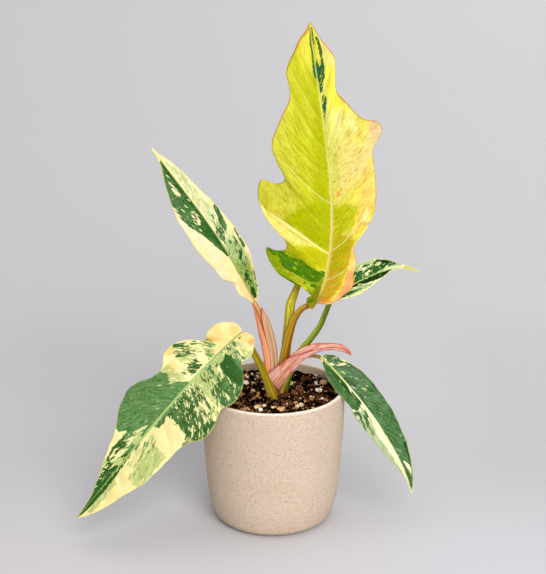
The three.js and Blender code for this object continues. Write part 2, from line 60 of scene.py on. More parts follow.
class Wire:
    # The output of a shader node. Sums and products of wires and numbers add their Math nodes.
    def __init__(self, finish, socket):
        self.finish = finish
        self.socket = socket

    def other(self, index):
        return Wire(self.finish, self.socket.node.outputs[index])

    def math(self, operation, *values):
        return self.finish.node("ShaderNodeMath", {"operation": operation}, dict(enumerate(values)))

    def __add__(self, value):
        return self.math("ADD", self, value)

    def __radd__(self, value):
        return self.math("ADD", value, self)

    def __sub__(self, value):
        return self.math("SUBTRACT", self, value)

    def __rsub__(self, value):
        return self.math("SUBTRACT", value, self)

    def __mul__(self, value):
        return self.math("MULTIPLY", self, value)

    def __rmul__(self, value):
        return self.math("MULTIPLY", value, self)

    def __truediv__(self, value):
        return self.math("DIVIDE", self, value)

    def __abs__(self):
        return self.math("ABSOLUTE", self)

    def wave(self):
        return self.math("SINE", self)

    def fract(self):
        return self.math("FRACT", self)

    def most(self, value):
        return self.math("MAXIMUM", self, value)

    def ease(self, low, high):
        # 0 at low, 1 at high, smooth between them; low may be the larger one
        return self.finish.node(
            "ShaderNodeMapRange", {"interpolation_type": "SMOOTHSTEP"},
            {"Value": self, "From Min": low, "From Max": high})


class Finish:
    # One material, with the sockets of its main shader that are the same all over.
    def __init__(self, name, **sockets):
        self.material = bpy.data.materials.new(name)
        self.material.use_nodes = True
        self.tree = self.material.node_tree
        self.shader = self.tree.nodes["Principled BSDF"]
        for socket, value in sockets.items():
            self.shader.inputs[socket.replace("_", " ")].default_value = value

    def node(self, kind, settings=None, values=None, output=0):
        made = self.tree.nodes.new(kind)
        for key, value in (settings or {}).items():
            setattr(made, key, value)
        for key, value in (values or {}).items():
            self.feed(made.inputs[key], value)
        return Wire(self, made.outputs[output])

    def feed(self, socket, value):
        if isinstance(value, Wire):
            self.tree.links.new(value.socket, socket)
        else:
            socket.default_value = value

    def show(self, **values):
        for key, value in values.items():
            self.feed(self.shader.inputs[key.replace("_", " ")], value)

    def mark(self, name):
        # a piece's own attribute, as its three parts
        mark = self.node("ShaderNodeAttribute", {"attribute_name": name}, output=1)
        return self.split(mark)

    def split(self, vector):
        first = self.node("ShaderNodeSeparateXYZ", None, {0: vector})
        return first, first.other(1), first.other(2)

    def place(self):
        return self.node("ShaderNodeTexCoord", output=3)

    def vector(self, x, y, z=0.0):
        return self.node("ShaderNodeCombineXYZ", None, {0: x, 1: y, 2: z})

    def noise(self, place, scale=1.0, detail=2.0, roughness=0.5):
        values = {"Vector": place, "Scale": scale, "Detail": detail, "Roughness": roughness}
        return self.node("ShaderNodeTexNoise", None, values)

    def strands(self, x, y, z=0.0, detail=2.0, roughness=0.5):
        # noise on coordinates that are already scaled, mostly stretched along the fibres
        return self.noise(self.vector(x, y, z), 1, detail, roughness)

    def cells(self, place, scale=1.0):
        return self.node("ShaderNodeTexVoronoi", None, {"Vector": place, "Scale": scale})

    def mix(self, first, second, share, blend="MIX"):
        first, second = [value if isinstance(value, Wire) else tone(value) for value in (first, second)]
        settings = {"data_type": "RGBA", "blend_type": blend}
        return self.node("ShaderNodeMix", settings, {0: share, 6: first, 7: second}, output=2)

    def coats(self, colour, *layers):
        # colours laid over the first one, each with the share that it covers
        for layer in layers:
            colour = self.mix(colour, *layer)
        return colour

    def paint(self, name):
        # a piece's own attribute, as a colour
        return self.node("ShaderNodeAttribute", {"attribute_name": name})

    def bump(self, height, distance, strength):
        values = {"Height": height, "Distance": distance, "Strength": strength}
        return self.node("ShaderNodeBump", None, values)


# Shape helpers

def unit(vectors):
    return vectors / np.linalg.norm(vectors, axis=-1, keepdims=True)


def squared(face, tangent):
    # a face made square to the line that it lies along
    return unit(face - tangent * np.sum(face * tangent, axis=1, keepdims=True))


def refined(rows, at):
    # rows of numbers read at a place between them, on a Catmull-Rom curve through each column
    rows = np.array(rows, float)
    last = len(rows) - 1
    step = np.clip(np.floor(at).astype(int), 0, last - 1)
    x = (at - step)[:, None]
    a, b = rows[np.maximum(step - 1, 0)], rows[step]
    c, d = rows[step + 1], rows[np.minimum(step + 2, last)]
    return b + x / 2 * (c - a + x * (2 * a - 5 * b + 4 * c - d + x * (3 * (b - c) + d - a)))


def evenRows(rows, y):
    # where y, from 0 to 1, is in a list of rows, with even steps on the surface that they describe
    pace = np.abs(np.diff(np.array(rows, float), axis=0)).sum(axis=1) + 1
    return np.interp(y, np.concatenate([[0], np.cumsum(pace)]) / pace.sum(), np.arange(len(rows)))


def cornersOf(outline):
    # a row of x, y, x, y... as corners; two corners alone span a box
    corners = np.reshape(np.array(outline, float), (-1, 2))
    if len(corners) == 2:
        (left, low), (right, high) = corners
        corners = np.array([(left, low), (right, low), (right, high), (left, high)])
    return corners


def insideOf(outline, x, y, softness):
    # 1 well inside an outline, 0 well outside it, and smooth between
    point = np.stack([x, y], axis=1)
    corners = cornersOf(outline)
    distance = np.full(len(x), np.inf)
    inside = np.zeros(len(x), bool)
    for a, b in zip(corners, np.roll(corners, -1, axis=0)):
        edge = b - a
        reach = np.clip((point - a) @ edge / (edge @ edge), 0, 1)
        distance = np.minimum(distance, np.linalg.norm(point - a - reach[:, None] * edge, axis=1))
        crossed = (a[1] > y) != (b[1] > y)
        inside ^= crossed & (x < a[0] + edge[0] * (y - a[1]) / (edge[1] or 1))
    share = np.clip(np.where(inside, distance, -distance) / softness + 0.5, 0, 1)
    return share * share * (3 - 2 * share)


def bentGrid(columns, rows, shape):
    # A flat grid whose every point goes where shape(x, y) puts it: x from -1 to 1, y from 0 to 1. The shape
    # also gives the marks that the finish reads, each with three numbers a point.
    bm = bmesh.new()
    bmesh.ops.create_grid(bm, x_segments=columns, y_segments=rows, size=1)
    flat = np.array([vert.co for vert in bm.verts])
    flat /= np.abs(flat).max(axis=0, where=flat != 0, initial=1e-9)
    points, marks = shape(flat[:, 0], flat[:, 1] / 2 + 0.5)
    for vert, point in zip(bm.verts, points):
        vert.co = point
    for name, values in marks.items():
        layer = bm.verts.layers.float_vector.new(name)
        for vert, value in zip(bm.verts, np.stack(values, axis=1)):
            vert[layer] = value
    return bm


def closeTube(bm):
    bmesh.ops.remove_doubles(bm, verts=bm.verts, dist=0.001)
    openEdges = [edge for edge in bm.edges if edge.is_boundary]
    bmesh.ops.holes_fill(bm, edges=openEdges, sides=0)
    bmesh.ops.recalc_face_normals(bm, faces=bm.faces)


def addObject(name, data):
    made = bpy.data.objects.new(name, data)
    bpy.context.collection.objects.link(made)
    return made


def addMesh(name, bm, finishes):
    mesh = bpy.data.meshes.new(name)
    bm.to_mesh(mesh)
    bm.free()
    mesh.shade_smooth()
    for finish in finishes:
        mesh.materials.append(finish.material)
    return addObject(name, mesh)


def makePiece(name, bm, finishes, nodes=()):
    bmesh.ops.scale(bm, vec=(mm, mm, mm), verts=bm.verts)
    piece = addMesh(name, bm, finishes)
    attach(piece, "root")
    if nodes:
        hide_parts(*nodes)
    return piece


def addWall(piece, thickness, offset, under=0):
    wall = piece.modifiers.new("wall", "SOLIDIFY")
    wall.thickness = thickness * mm
    wall.offset = offset
    wall.material_offset = under
    return wall


# Pot

potLook = {
    "outline": [  # radius, height
        [42.5, 0], [47.6, 3], [50.6, 8], [55, 25], [58.2, 60], [60, 95], [60, 114],
    ],
    "height": 118,
    "wall": 3.4,
    "floor": 5,
    "foot": [[0, 1.6], [30, 1.6], [37.5, 1.4], [38.8, 0.2], [39.6, 0], [41.6, 0]],  # its ring, underneath
    "inside": (112, 14),  # the heights between which the wall is plain inside
    "corner": [(10, 4.6, 8.6), (5, 8.2, 5)],  # outside height, how far in from there, inside height
    "sides": 96,
    "clay": (206, 186, 166),
    # shade is the clay's darker mottle and specks, and also painted shade at the foot
    "shade": (180, 152, 124),
    "pale": (224, 206, 188),
    # the rim tone is a painted highlight along the rim's top edge
    "rim": (238, 224, 208),
    "speck": (122, 84, 56),
    "specks": [(400, 0.45, 0.22), (620, 0.6, 0.24), (1000, 0.75, 0.3)],  # cells a metre, depth, how many
}


def potRadius(height):
    rows = refined(potLook["outline"], np.linspace(0, len(potLook["outline"]) - 1, 200))
    return float(np.interp(height, rows[:, 1], rows[:, 0]))


def spun(profile, sides):
    # a profile of (radius, height) spun right round the upright axis
    bm = bmesh.new()
    line = [bm.verts.new((radius, 0, height)) for radius, height in profile]
    edges = [bm.edges.new(pair) for pair in zip(line, line[1:])]
    bmesh.ops.spin(bm, geom=line + edges, cent=(0, 0, 0), axis=(0, 0, 1), angle=math.tau, steps=sides,
                   use_merge=True)
    bmesh.ops.remove_doubles(bm, verts=bm.verts, dist=0.001)
    bmesh.ops.recalc_face_normals(bm, faces=bm.faces)
    return bm


def makePot():
    look = potLook
    lip = look["wall"] / 2
    outside = refined(look["outline"], np.linspace(0, len(look["outline"]) - 1, 40)).tolist()
    middle = outside[-1][0] - lip
    rim = [[middle + lip * math.cos(a), look["height"] - lip + lip * math.sin(a)]
           for a in np.linspace(0.12, math.pi - 0.12, 9)]
    inside = [[potRadius(z) - look["wall"], z] for z in np.linspace(*look["inside"], 22)]
    corner = [[potRadius(z) - inset, height] for z, inset, height in look["corner"]] + [[0, look["floor"]]]
    profile = look["foot"] + outside + rim + inside + corner
    pot = makePiece("pot_body", spun(profile, look["sides"]), [potFinish()], ["pot"])
    print("pot made,", len(pot.data.polygons), "faces")


def potFinish():
    look = potLook
    f = Finish("fired_stoneware", Specular_IOR_Level=0.25)
    place = f.place()
    x, y, z = f.split(place)
    cloud = f.noise(place, 30, 2)
    turned = f.strands(x * 5, y * 5, z * 210)  # faint rings from the wheel
    sand = f.noise(place, 1150, 2, 0.7)
    grain = f.noise(place, 1500, 1)
    specks = 0
    for size, depth, share in look["specks"]:
        spot = f.cells(place, size)
        chosen = f.split(spot.other(1))[0].ease(share, share - 0.02)
        specks = (spot.ease(0.3, 0.16) * chosen * depth).most(specks)
    colour = f.coats(
        look["clay"],
        (look["shade"], cloud.ease(0.4, 0.8) * 0.22),
        (look["pale"], sand.ease(0.5, 0.62) * 0.5 + turned.ease(0.5, 0.75) * 0.08),
        # the clay's own dark sand specks, and painted shade over the lowest 10 mm under the pot's curve
        (look["shade"], sand.ease(0.48, 0.36) * 0.5 + z.ease(0.01, 0.0) * 0.4),
        # painted highlight on the top 2 mm of the rim
        (look["rim"], z.ease(0.116, 0.1174) * 0.85),
        (look["speck"], specks))
    f.show(Base_Color=colour, Roughness=0.66 + grain * 0.14)
    height = sand * 0.5 + grain * 0.3 + cloud * 0.8 + turned * 0.5 - specks * 0.5
    f.show(Normal=f.bump(height, 0.0004, 0.55))
    return f


# Leaves. Each blade lies round its midrib, a cubic curve from base to tip. Seen from above with the tip
# up, each row of "veins" is a pair of side veins: where they leave the midrib, how far along and how far
# out the left one ends, then the same for the right one. "faces" says where the upper side looks at the
# base and at the tip, "fold" how steeply the halves rise, in degrees, and "droop" how much that wanes.
# "rib" is how thick the midrib stands out below, and "puff" how high the leaf swells between its veins.
# "waves" lift the margin: half (-1 is the left one), row, reach, height. "mainVeins" lists where the large
# veins leave the midrib, left and right, and how strongly each shows, and "veinDrift" how far they stray
# from their rows. "midline" is the midrib's half width and colour along it.
# "washes" are the soft colours: colour, softness of the border, outline. "marbling" lays dark tissue, pale
# tissue and the other marks over them: how much there is, softness, outline. An outline is a row of
# numbers, out and along for each corner, and two corners alone are a box. "fineness" makes the marbling
# finer. On a narrow leaf the streaks rise with "streakSlope", past "streakFrom" on each half. "own" is what
# a leaf changes in the tones of its finish.

bladeForm = {
    "thickness": 0.6,
    "bend": 1.35,  # how late a side vein turns towards the tip
    "round": (1.4, 1.3),  # how the columns crowd at the midrib and at the margin
    "columns": 68,
    "rowsPerLength": 1.35,
    "quilt": (0.7, 0.6),  # how flat the puffs are between side veins, and from midrib to margin
    "ripple": 0.35,
    "ribWidth": 1.7,
    "ribLift": 0.45,
    "plainWidth": 12,  # where a half is narrower, its relief fades
    "stray": 2.4,  # how far the soft colours run past their borders, in streaks
}


def evenVeins(first, step, strength):
    longest = 260  # more than any leaf's midrib
    return [(start, strength) for start in np.arange(first, longest, step)]


leaves = {}
leaves["caramel_leaf"] = {
    "midrib": [[36.3, -4, 193.7], [63.6, 2, 253.1], [37.1, 20, 351.6], [29.8, 42, 417.6]],
    "faces": [[-0.36, -0.92, 0.1], [-0.3, -0.93, 0.2]], "fold": [18, 18], "droop": 0.0022,
    "rib": 3, "puff": 1.0, "veinDrift": [6, 0],
    "veins": [
        [0, -5, 0.5, 0.5, 2], [1, -6.5, 2, 3.5, 9.5], [2.5, -2.5, 7.5, 6.5, 13], [4, 2, 8, 10, 16],
        [5.5, 4, 7, 14, 18.5], [8, 7.5, 15, 19, 22.5], [10.5, 8, 24, 22.5, 24], [13, 13, 39.5, 27, 24],
        [15, 27, 51, 30.5, 23], [17, 39, 53.5, 35.5, 24], [20, 37.5, 46, 40, 24.5], [23.5, 41, 37, 46, 23],
        [27, 51, 38.5, 50, 21.5], [31, 61, 47, 55.5, 23.5], [35.5, 76.5, 57, 66.5, 31.5],
        [39.5, 92.5, 61.5, 75.5, 36.5], [43, 107, 58.5, 84.5, 39], [47, 106.5, 52, 94, 40],
        [50.5, 103.5, 43.5, 98, 40], [56, 107, 36.5, 102.5, 40], [63, 117, 39, 107.5, 40.5],
        [71.5, 126, 41.5, 112, 40.5], [77, 133.5, 42.5, 117, 40.5], [86, 141, 42, 122.5, 40.5],
        [95.5, 149.5, 38, 129, 43.5], [104.5, 158, 33, 136, 50], [112, 165.5, 28.5, 142, 51.5],
        [117.5, 171.5, 25, 147, 47], [122.5, 178, 23.5, 150.5, 35], [130, 186.5, 23.5, 166, 20.5],
        [137.5, 195, 24, 173.5, 15], [147.5, 202, 21, 181.5, 15], [158.5, 210, 16, 191.5, 17],
        [171, 216, 12, 200.5, 18], [183, 221.5, 8, 208, 14.5], [204, 226.5, 3.5, 217.5, 8],
        [232, 232, 0.5, 232, 0.5],
    ],
    "waves": [
        [-1, 2.5, 2, 3], [-1, 9.5, 5, -6], [-1, 12.5, 2, 2], [-1, 16, 4, -5], [-1, 23, 5, 3],
        [-1, 30, 4, -2], [1, 6, 6, -6], [1, 17, 5, -3], [1, 26, 3.5, 5], [1, 30.5, 3, -3],
    ],
    "mainVeins": [
        [(-12, 0), (2, 0), (16, 0), (43, 1), (62, 0.03), (85, 0.5), (106, 0.04), (128, 0.04), (152, 0.06),
            (175, 0.06), (200, 0.04), (225, 0), (250, 0)],
        [(-12, 0.2), (2, 0.4), (21, 0.5), (46, 0.8), (64, 0.03), (84, 1.2), (107, 0.04), (131, 0.9),
            (150, 0.04), (172, 0.04), (196, 0.04), (220, 0), (245, 0)],
    ],
    "midline": [
        [-8, 0.9, (130, 124, 20)], [6, 1.2, (170, 146, 44)], [14, 1.4, (212, 184, 96)],
        [30, 1.4, (216, 192, 104)], [80, 1.2, (226, 208, 122)], [130, 0.9, (206, 202, 96)],
        [175, 0.6, (214, 216, 100)], [232, 0.25, (226, 210, 96)],
    ],
    "finish": "caramel", "ground": (250, 240, 96), "pale": (186, 194, 6),
    "washes": [
        [(200, 204, 42), 2, -70, -12, 0, 236],
        [(206, 206, 62), 7, -30, 60, -62, 80, -64, 112, -44, 112, -46, 150, -26, 200, -20, 190, -26, 150,
            -24, 110],
        [(176, 184, 0), 8, 1, 45, -14, 60, -14, 90, -8, 150, -3, 200, 1, 215],
        [(172, 182, 0), 2, 1, 43.5, -10, 48.5, -17, 53, -25, 59, -34, 65, -40, 72, -16, 86, 1, 84],
        [(226, 220, 70), 6, -10, 200, 0, 188, 0, 234, -14, 222],
        [(240, 224, 116), 1.6, -66, 98, -60, 84, -52, 75.5, -45.5, 69, -34, 60, -25, 53.5, -17, 49, -12, 46,
            -20, 46.5, -25, 47.5, -31, 49, -38, 50, -46, 57, -62, 76],
        [(196, 198, 8), 2, 0, 42, -10, 46, -20, 47.5, -24, 44, -22, 40, -3, 38],
        [(190, 190, 12), 3, -2, 43, -20, 45, -40, 44, -40, 34, -10, 30, -2, 30],
        [(230, 222, 74), 1.6, -39, 40, -36, 37, -30, 35, -20, 34, -15, 30, -8, 28, -2, 27.5, -2, 24, -8, 25,
            -16, 28, -20, 31, -36, 33],
        [(236, 234, 108), 6, 0, 90, 10, 100, 14, 130, 10, 165, 0, 180],
        [(206, 208, 24), 2, 0, 56, 8, 59, 20, 70, 24, 82, 14, 84, 0, 82],
        [(254, 240, 132), 6, 8, 92, 26, 104, 34, 124, 20, 142, 10, 130],
        [(255, 238, 146), 6, 26, 104, 42, 122, 54, 142, 46, 152, 34, 132, 24, 112],
        [(252, 222, 160), 5, 42, 128, 56, 140, 52, 154, 42, 148],
        [(248, 224, 112), 5, 26, 78, 41, 84, 42, 120, 30, 112],
        [(248, 214, 96), 3, 20, 62, 32, 70, 38, 84, 32, 88, 24, 76],
        [(254, 240, 80), 5, 8, 138, 32, 140, 24, 172, 18, 194, 8, 196],
        [(255, 248, 136), 6, 6, 136, 34, 138, 26, 160, 6, 158],
        [(254, 236, 130), 3, 10, 194, 22, 196, 17, 212, 3, 230, 6, 216],
        [(200, 186, 22), 3, 0, 4, 10, 6, 15, 20, 18, 36, 22, 58, 8, 60, 0, 56],
        [(202, 166, 40), 3, 1, 4, 9, 6, 13, 20, 10, 32, 1, 30],
        [(246, 174, 104), 1.6, 6, 3, 13, 9, 16, 18, 17, 28, 20, 36, 28, 34, 28, 12, 14, 0],
        [(250, 212, 128), 1.6, 20, 35, 19.5, 45, 20, 54, 28, 54, 28, 32],
        [(222, 140, 70), 2.5, 0, -8, 12, -4, 9, 5, 0, 5],
        [(136, 158, 10), 2, 1, 1, -9, 3, -14, 10, -40, 8, -58, 30, -56, 42, -38, 38, -20, 33, -8, 27, 1,
            25],
        [(176, 186, 34), 2, -28, 17, -20, 16, -11, 14, -6, 14, -6, 9, -16, 10, -29, 12],
        [(186, 168, 44), 2, -40, 24, -33, 23, -20, 21, -20, 18, -33, 19, -40, 20],
        [(120, 120, 10), 2, 1, 14, -5, 14, -6, 4, -10, 4, -10, -9, 1, -9],
        # a raised drop-like spot at 28 to 35 out, 69 to 83 along: the brown wash is its painted shadow
        # below it, the pale one its painted glint
        [(206, 166, 70), 0.9, 27.4, 70, 31, 68.6, 34.6, 71, 33, 73, 29, 71.4],
        [(254, 250, 150), 0.7, 30.8, 83, 32.2, 79, 33.6, 73, 32.4, 70.6, 29.4, 70.6, 28, 73.5, 28.4, 76.5,
            29.6, 79.5],
    ],
    "marbling": {
        "dark": [
            [1.15, 1.2, -54, 40, -49.6, 38.6, -39.9, 39.4, -36.8, 36.3, -33.4, 33.8, -27.1, 33.4, -21.1,
                32.5, -16, 30.1, -12.4, 28.1, -8, 26.7, -3.5, 28, -1, 26.3, -1, 23.5, -3.2, 22.4, -5, 16.4,
                -9.5, 15.3, -16.5, 16.6, -21.8, 17.3, -27.5, 18.9, -32.1, 20.1, -38.2, 23.4, -44.7, 28.9,
                -50.5, 35.6],
            [0.6, 2, -42, 15, -30, 11, -14, 9, -14, 6, -32, 6], [0.4, 2, -16, 14, -5, 15, -4, 8, -14, 9],
            [0.42, 2, -9, 3, 0, 3, -1, -8, -10, -8], [0.95, 1.2, -2.2, 188, -0.4, 186, -0.2, 230, -2, 218],
            [0.9, 1.4, 0, 184, 7, 185, 8.5, 194, 7.5, 203, 5.5, 206, 2.4, 203, 0, 200],
            [0.05, 1, 2.6, 196, 5, 196, 6, 204, 4, 212, 2.6, 206],
            [0.85, 1.2, 5, 203, 8, 203, 8, 212, 5.5, 219, 3.2, 220, 5, 212],
            [0.75, 1.2, 0, 214, 2, 214, 2.6, 224, 0.4, 229],
            [0.8, 1.2, 0.8, 174, 3.4, 175, 5.6, 182, 5, 186, 1, 186],
            [0.95, 1.2, 2, 173, 5, 173, 6, 169, 4.6, 164, 3.2, 158, 1.6, 158, 1, 166],
            [0.6, 1.2, 0.6, 150, 2.6, 150, 3, 160, 1, 162],
        ],
        "pale": [
            [0.42, 9, -1, 60, -20, 66, -42, 100, -30, 150, -12, 196, -1, 206],
            [0.5, 3, 0, 6, 9, 10, 19, 62, 25, 84, 10, 85, 0, 84], [0.14, 6, 0, 90, 9, 100, 12, 140, 0, 170],
        ],
        "freckles": [
            [0.16, 8, 0, 60, -60, 80, -60, 110, -40, 150, 0, 200],
            [0.26, 8, -8, 150, -40, 130, -38, 156, -26, 190, -16, 200],
            [0.6, 3, -60, 84, -48, 70, -34, 58, -22, 50, -22, 56, -36, 66, -50, 84],
            [0.34, 8, -4, 50, -30, 60, -56, 84, -48, 108, -30, 100, -6, 84],
            [0.24, 6, 2, 2, 24, 10, 26, 60, 40, 84, 54, 140, 30, 160, 4, 120],
            [0.75, 3, 4, 90, 12, 92, 26, 104, 30, 112, 24, 112, 12, 102],
            [0.65, 3, 18, 62, 24, 66, 32, 92, 36, 112, 28, 108, 22, 84],
            [0.55, 3, 2, 5, 16, 10, 16, 40, 20, 60, 3, 60], [0.3, 3, 34, 124, 50, 134, 48, 148, 38, 140],
        ],
        "deep": [[1.0, 4, -3, 150, 9, 150, 9, 196, -3, 200], [0.5, 4, -3, 196, 9, 232]],
        "flecks": [[0.3, 3, -60, 42, -60, 6, 0, 4, 0, 30]],
    },
}
leaves["left_leaf"] = {
    "midrib": [[-15.7, 2, 193.2], [-42.3, 6, 249.3], [-68.1, 18, 274.7], [-99.5, 30, 316.4]],
    "faces": [[0.25, -0.9, 0.35], [0.25, -0.85, 0.45]], "fold": [14, 14], "droop": 0.003, "rib": 2.2,
    "puff": 0.45, "streakSlope": 4.5, "fineness": 1.6,
    "own": {"gloss": 0.15, "dark": (28, 78, 14), "darkMottleAndSheen": (76, 120, 62), "deep": (20, 72, 2)},
    "veins": [
        [0, -1.5, 2, -1, 1], [2, 4, 4, 1, 4], [6.5, 11, 8.5, 8, 7.5], [11, 17, 9, 15, 9.5],
        [14, 20.5, 8, 22.5, 11.5], [16.5, 24.5, 10.5, 30.5, 13.5], [20.5, 30.5, 15.5, 38.5, 16],
        [28.5, 41.5, 17.5, 46.5, 16.5], [38.5, 53.5, 20, 56, 16.5], [49, 65.5, 21.5, 66.5, 16],
        [62.5, 78.5, 20.5, 79, 15], [76.5, 92.5, 19.5, 89.5, 13.5], [90.5, 105, 16, 100.5, 11],
        [105.5, 117, 11.5, 112.5, 9.5], [120, 128, 7, 125.5, 7.5], [132.5, 135.5, 3, 136.5, 5],
        [143, 144, 1, 145, 2], [152, 152, 0.5, 152, 0.5],
    ],
    "waves": [
        [-1, 4, 3, -1.5], [-1, 8, 3, 1.5], [-1, 12, 3, -1.5], [1, 5, 3, 1.5], [1, 9.5, 3, -1.5],
        [1, 13, 3, 1],
    ],
    "mainVeins": [evenVeins(-9, 12.5, 0.12), evenVeins(-12, 12, 0.08)],
    "midline": [
        [0, 0.9, (196, 150, 70)], [12, 0.8, (150, 140, 40)], [44, 0.6, (120, 134, 30)],
        [60, 0.5, (70, 110, 30)], [130, 0.35, (110, 140, 50)], [152, 0.2, (240, 226, 120)],
    ],
    "finish": "marbled", "ground": (236, 215, 172), "pale": (174, 196, 142),
    "washes": [
        [(242, 218, 158), 6, -1, 0, -9, 4, -12, 20, -8, 44, -1, 40],
        [(244, 204, 146), 4, 0, -3, -5, -2, -8, 10, -4, 26, 0, 20],
        [(240, 214, 150), 4, -18, 40, -23, 60, -22, 70, -18, 62, -14, 44],
        [(224, 218, 160), 5, 1, 46, 12, 48, 14, 86, 1, 92],
        [(232, 222, 162), 4, 0, 90, 12, 90, 8, 140, 0, 148],
        [(244, 214, 146), 2, 12, 78, 17, 64, 17, 44, 13, 40, 13, 60],
        [(250, 210, 122), 1.6, 7, 2, 10, 10, 12, 30, 10.5, 30, 7.4, 12],
        [(160, 180, 108), 5, 0, 24, 9, 24, 14, 44, 12, 54, 4, 56, 0, 50],
        [(122, 150, 62), 5, 0, 2, 7, 4, 9.5, 20, 12, 34, 6, 38, 0, 36],
    ],
    "marbling": {
        "dark": [
            [1.1, 1.2, 0, 43, -1.6, 44, -3, 49, -5, 54, -7, 60, -9, 68, -12, 75, -15, 80, -15, 84, -16.5,
                90, -18, 96, -19, 103, -13, 121, -4, 138, 0, 140],
            [0.42, 1.4, -8, 90, -5, 92, -2.6, 90, -2.2, 84, -3, 80, -8, 77, -8.5, 84],
            [0.4, 1.2, -8.6, 113, -6.6, 118, -6.4, 123.5, -5.2, 120, -3.6, 112, -3.2, 105, -4.6, 107, -6,
                105, -8, 106],
            [0.45, 1.5, -18, 92, -15, 92, -15.5, 103, -18.5, 103],
            [1.1, 1.4, 7, 64, 10, 62, 12.4, 68, 13.4, 74, 15, 80, 14.4, 86, 12, 84, 10.4, 78, 8, 72],
            [0.55, 2, 2, 52, 8, 62, 7.4, 80, 4, 78, 1, 64],
            [0.22, 4, 0, 2, 7, 5, 10, 18, 14, 40, 14, 52, 2, 54, 0, 40],
            [1.2, 0.9, 13.2, 42, 15.8, 44, 16, 51, 14.2, 52],
            [1.2, 0.9, 14.4, 52, 16, 53, 16.2, 60, 15, 60],
            [1.1, 0.9, 10.4, 50, 11.8, 50, 12, 57, 10.8, 57], [1.5, 1, 7, 36.6, 9, 37, 10.8, 43, 8.6, 43],
            [1.5, 1, 2.6, 19, 5, 17.6, 6.2, 21, 4.4, 24.6, 2.8, 22.5],
            [1.5, 1, 0.8, 2.4, 2.8, 2, 4.8, 9, 4, 12, 1.6, 10],
            [0.7, 1.2, 8.6, 2, 10.4, 14, 12, 24, 10.4, 22, 8, 10],
        ],
        "pale": [
            [0.55, 4, 1, 44, 12, 48, 12, 82, 1, 92], [0.4, 4, 0, 24, 9, 26, 14, 44, 8, 50, 0, 52],
            [0.62, 2.5, 1, 88, 8, 92, 8.6, 112, 5, 132, 2, 138], [0.5, 3, 4, 80, 10, 82, 9, 94, 4, 92],
        ],
        "deep": [
            [0.7, 1.6, 0, 42, -3.2, 46, -3.4, 100, -2, 138, 0, 140],
            [0.5, 3, -2, 60, -9, 66, -9, 84, -2, 90], [1.0, 2, 0, 0, 12, 46],
        ],
        "flecks": [
            [0.12, 2, 0, 42, -20, 84, -20, 110, 0, 140],
            [0.45, 3, -2, 66, -12, 76, -16, 98, -6, 100, -2, 92], [0.5, 3, 0, 2, 10, 6, 14, 44, 0, 46],
        ],
    },
}
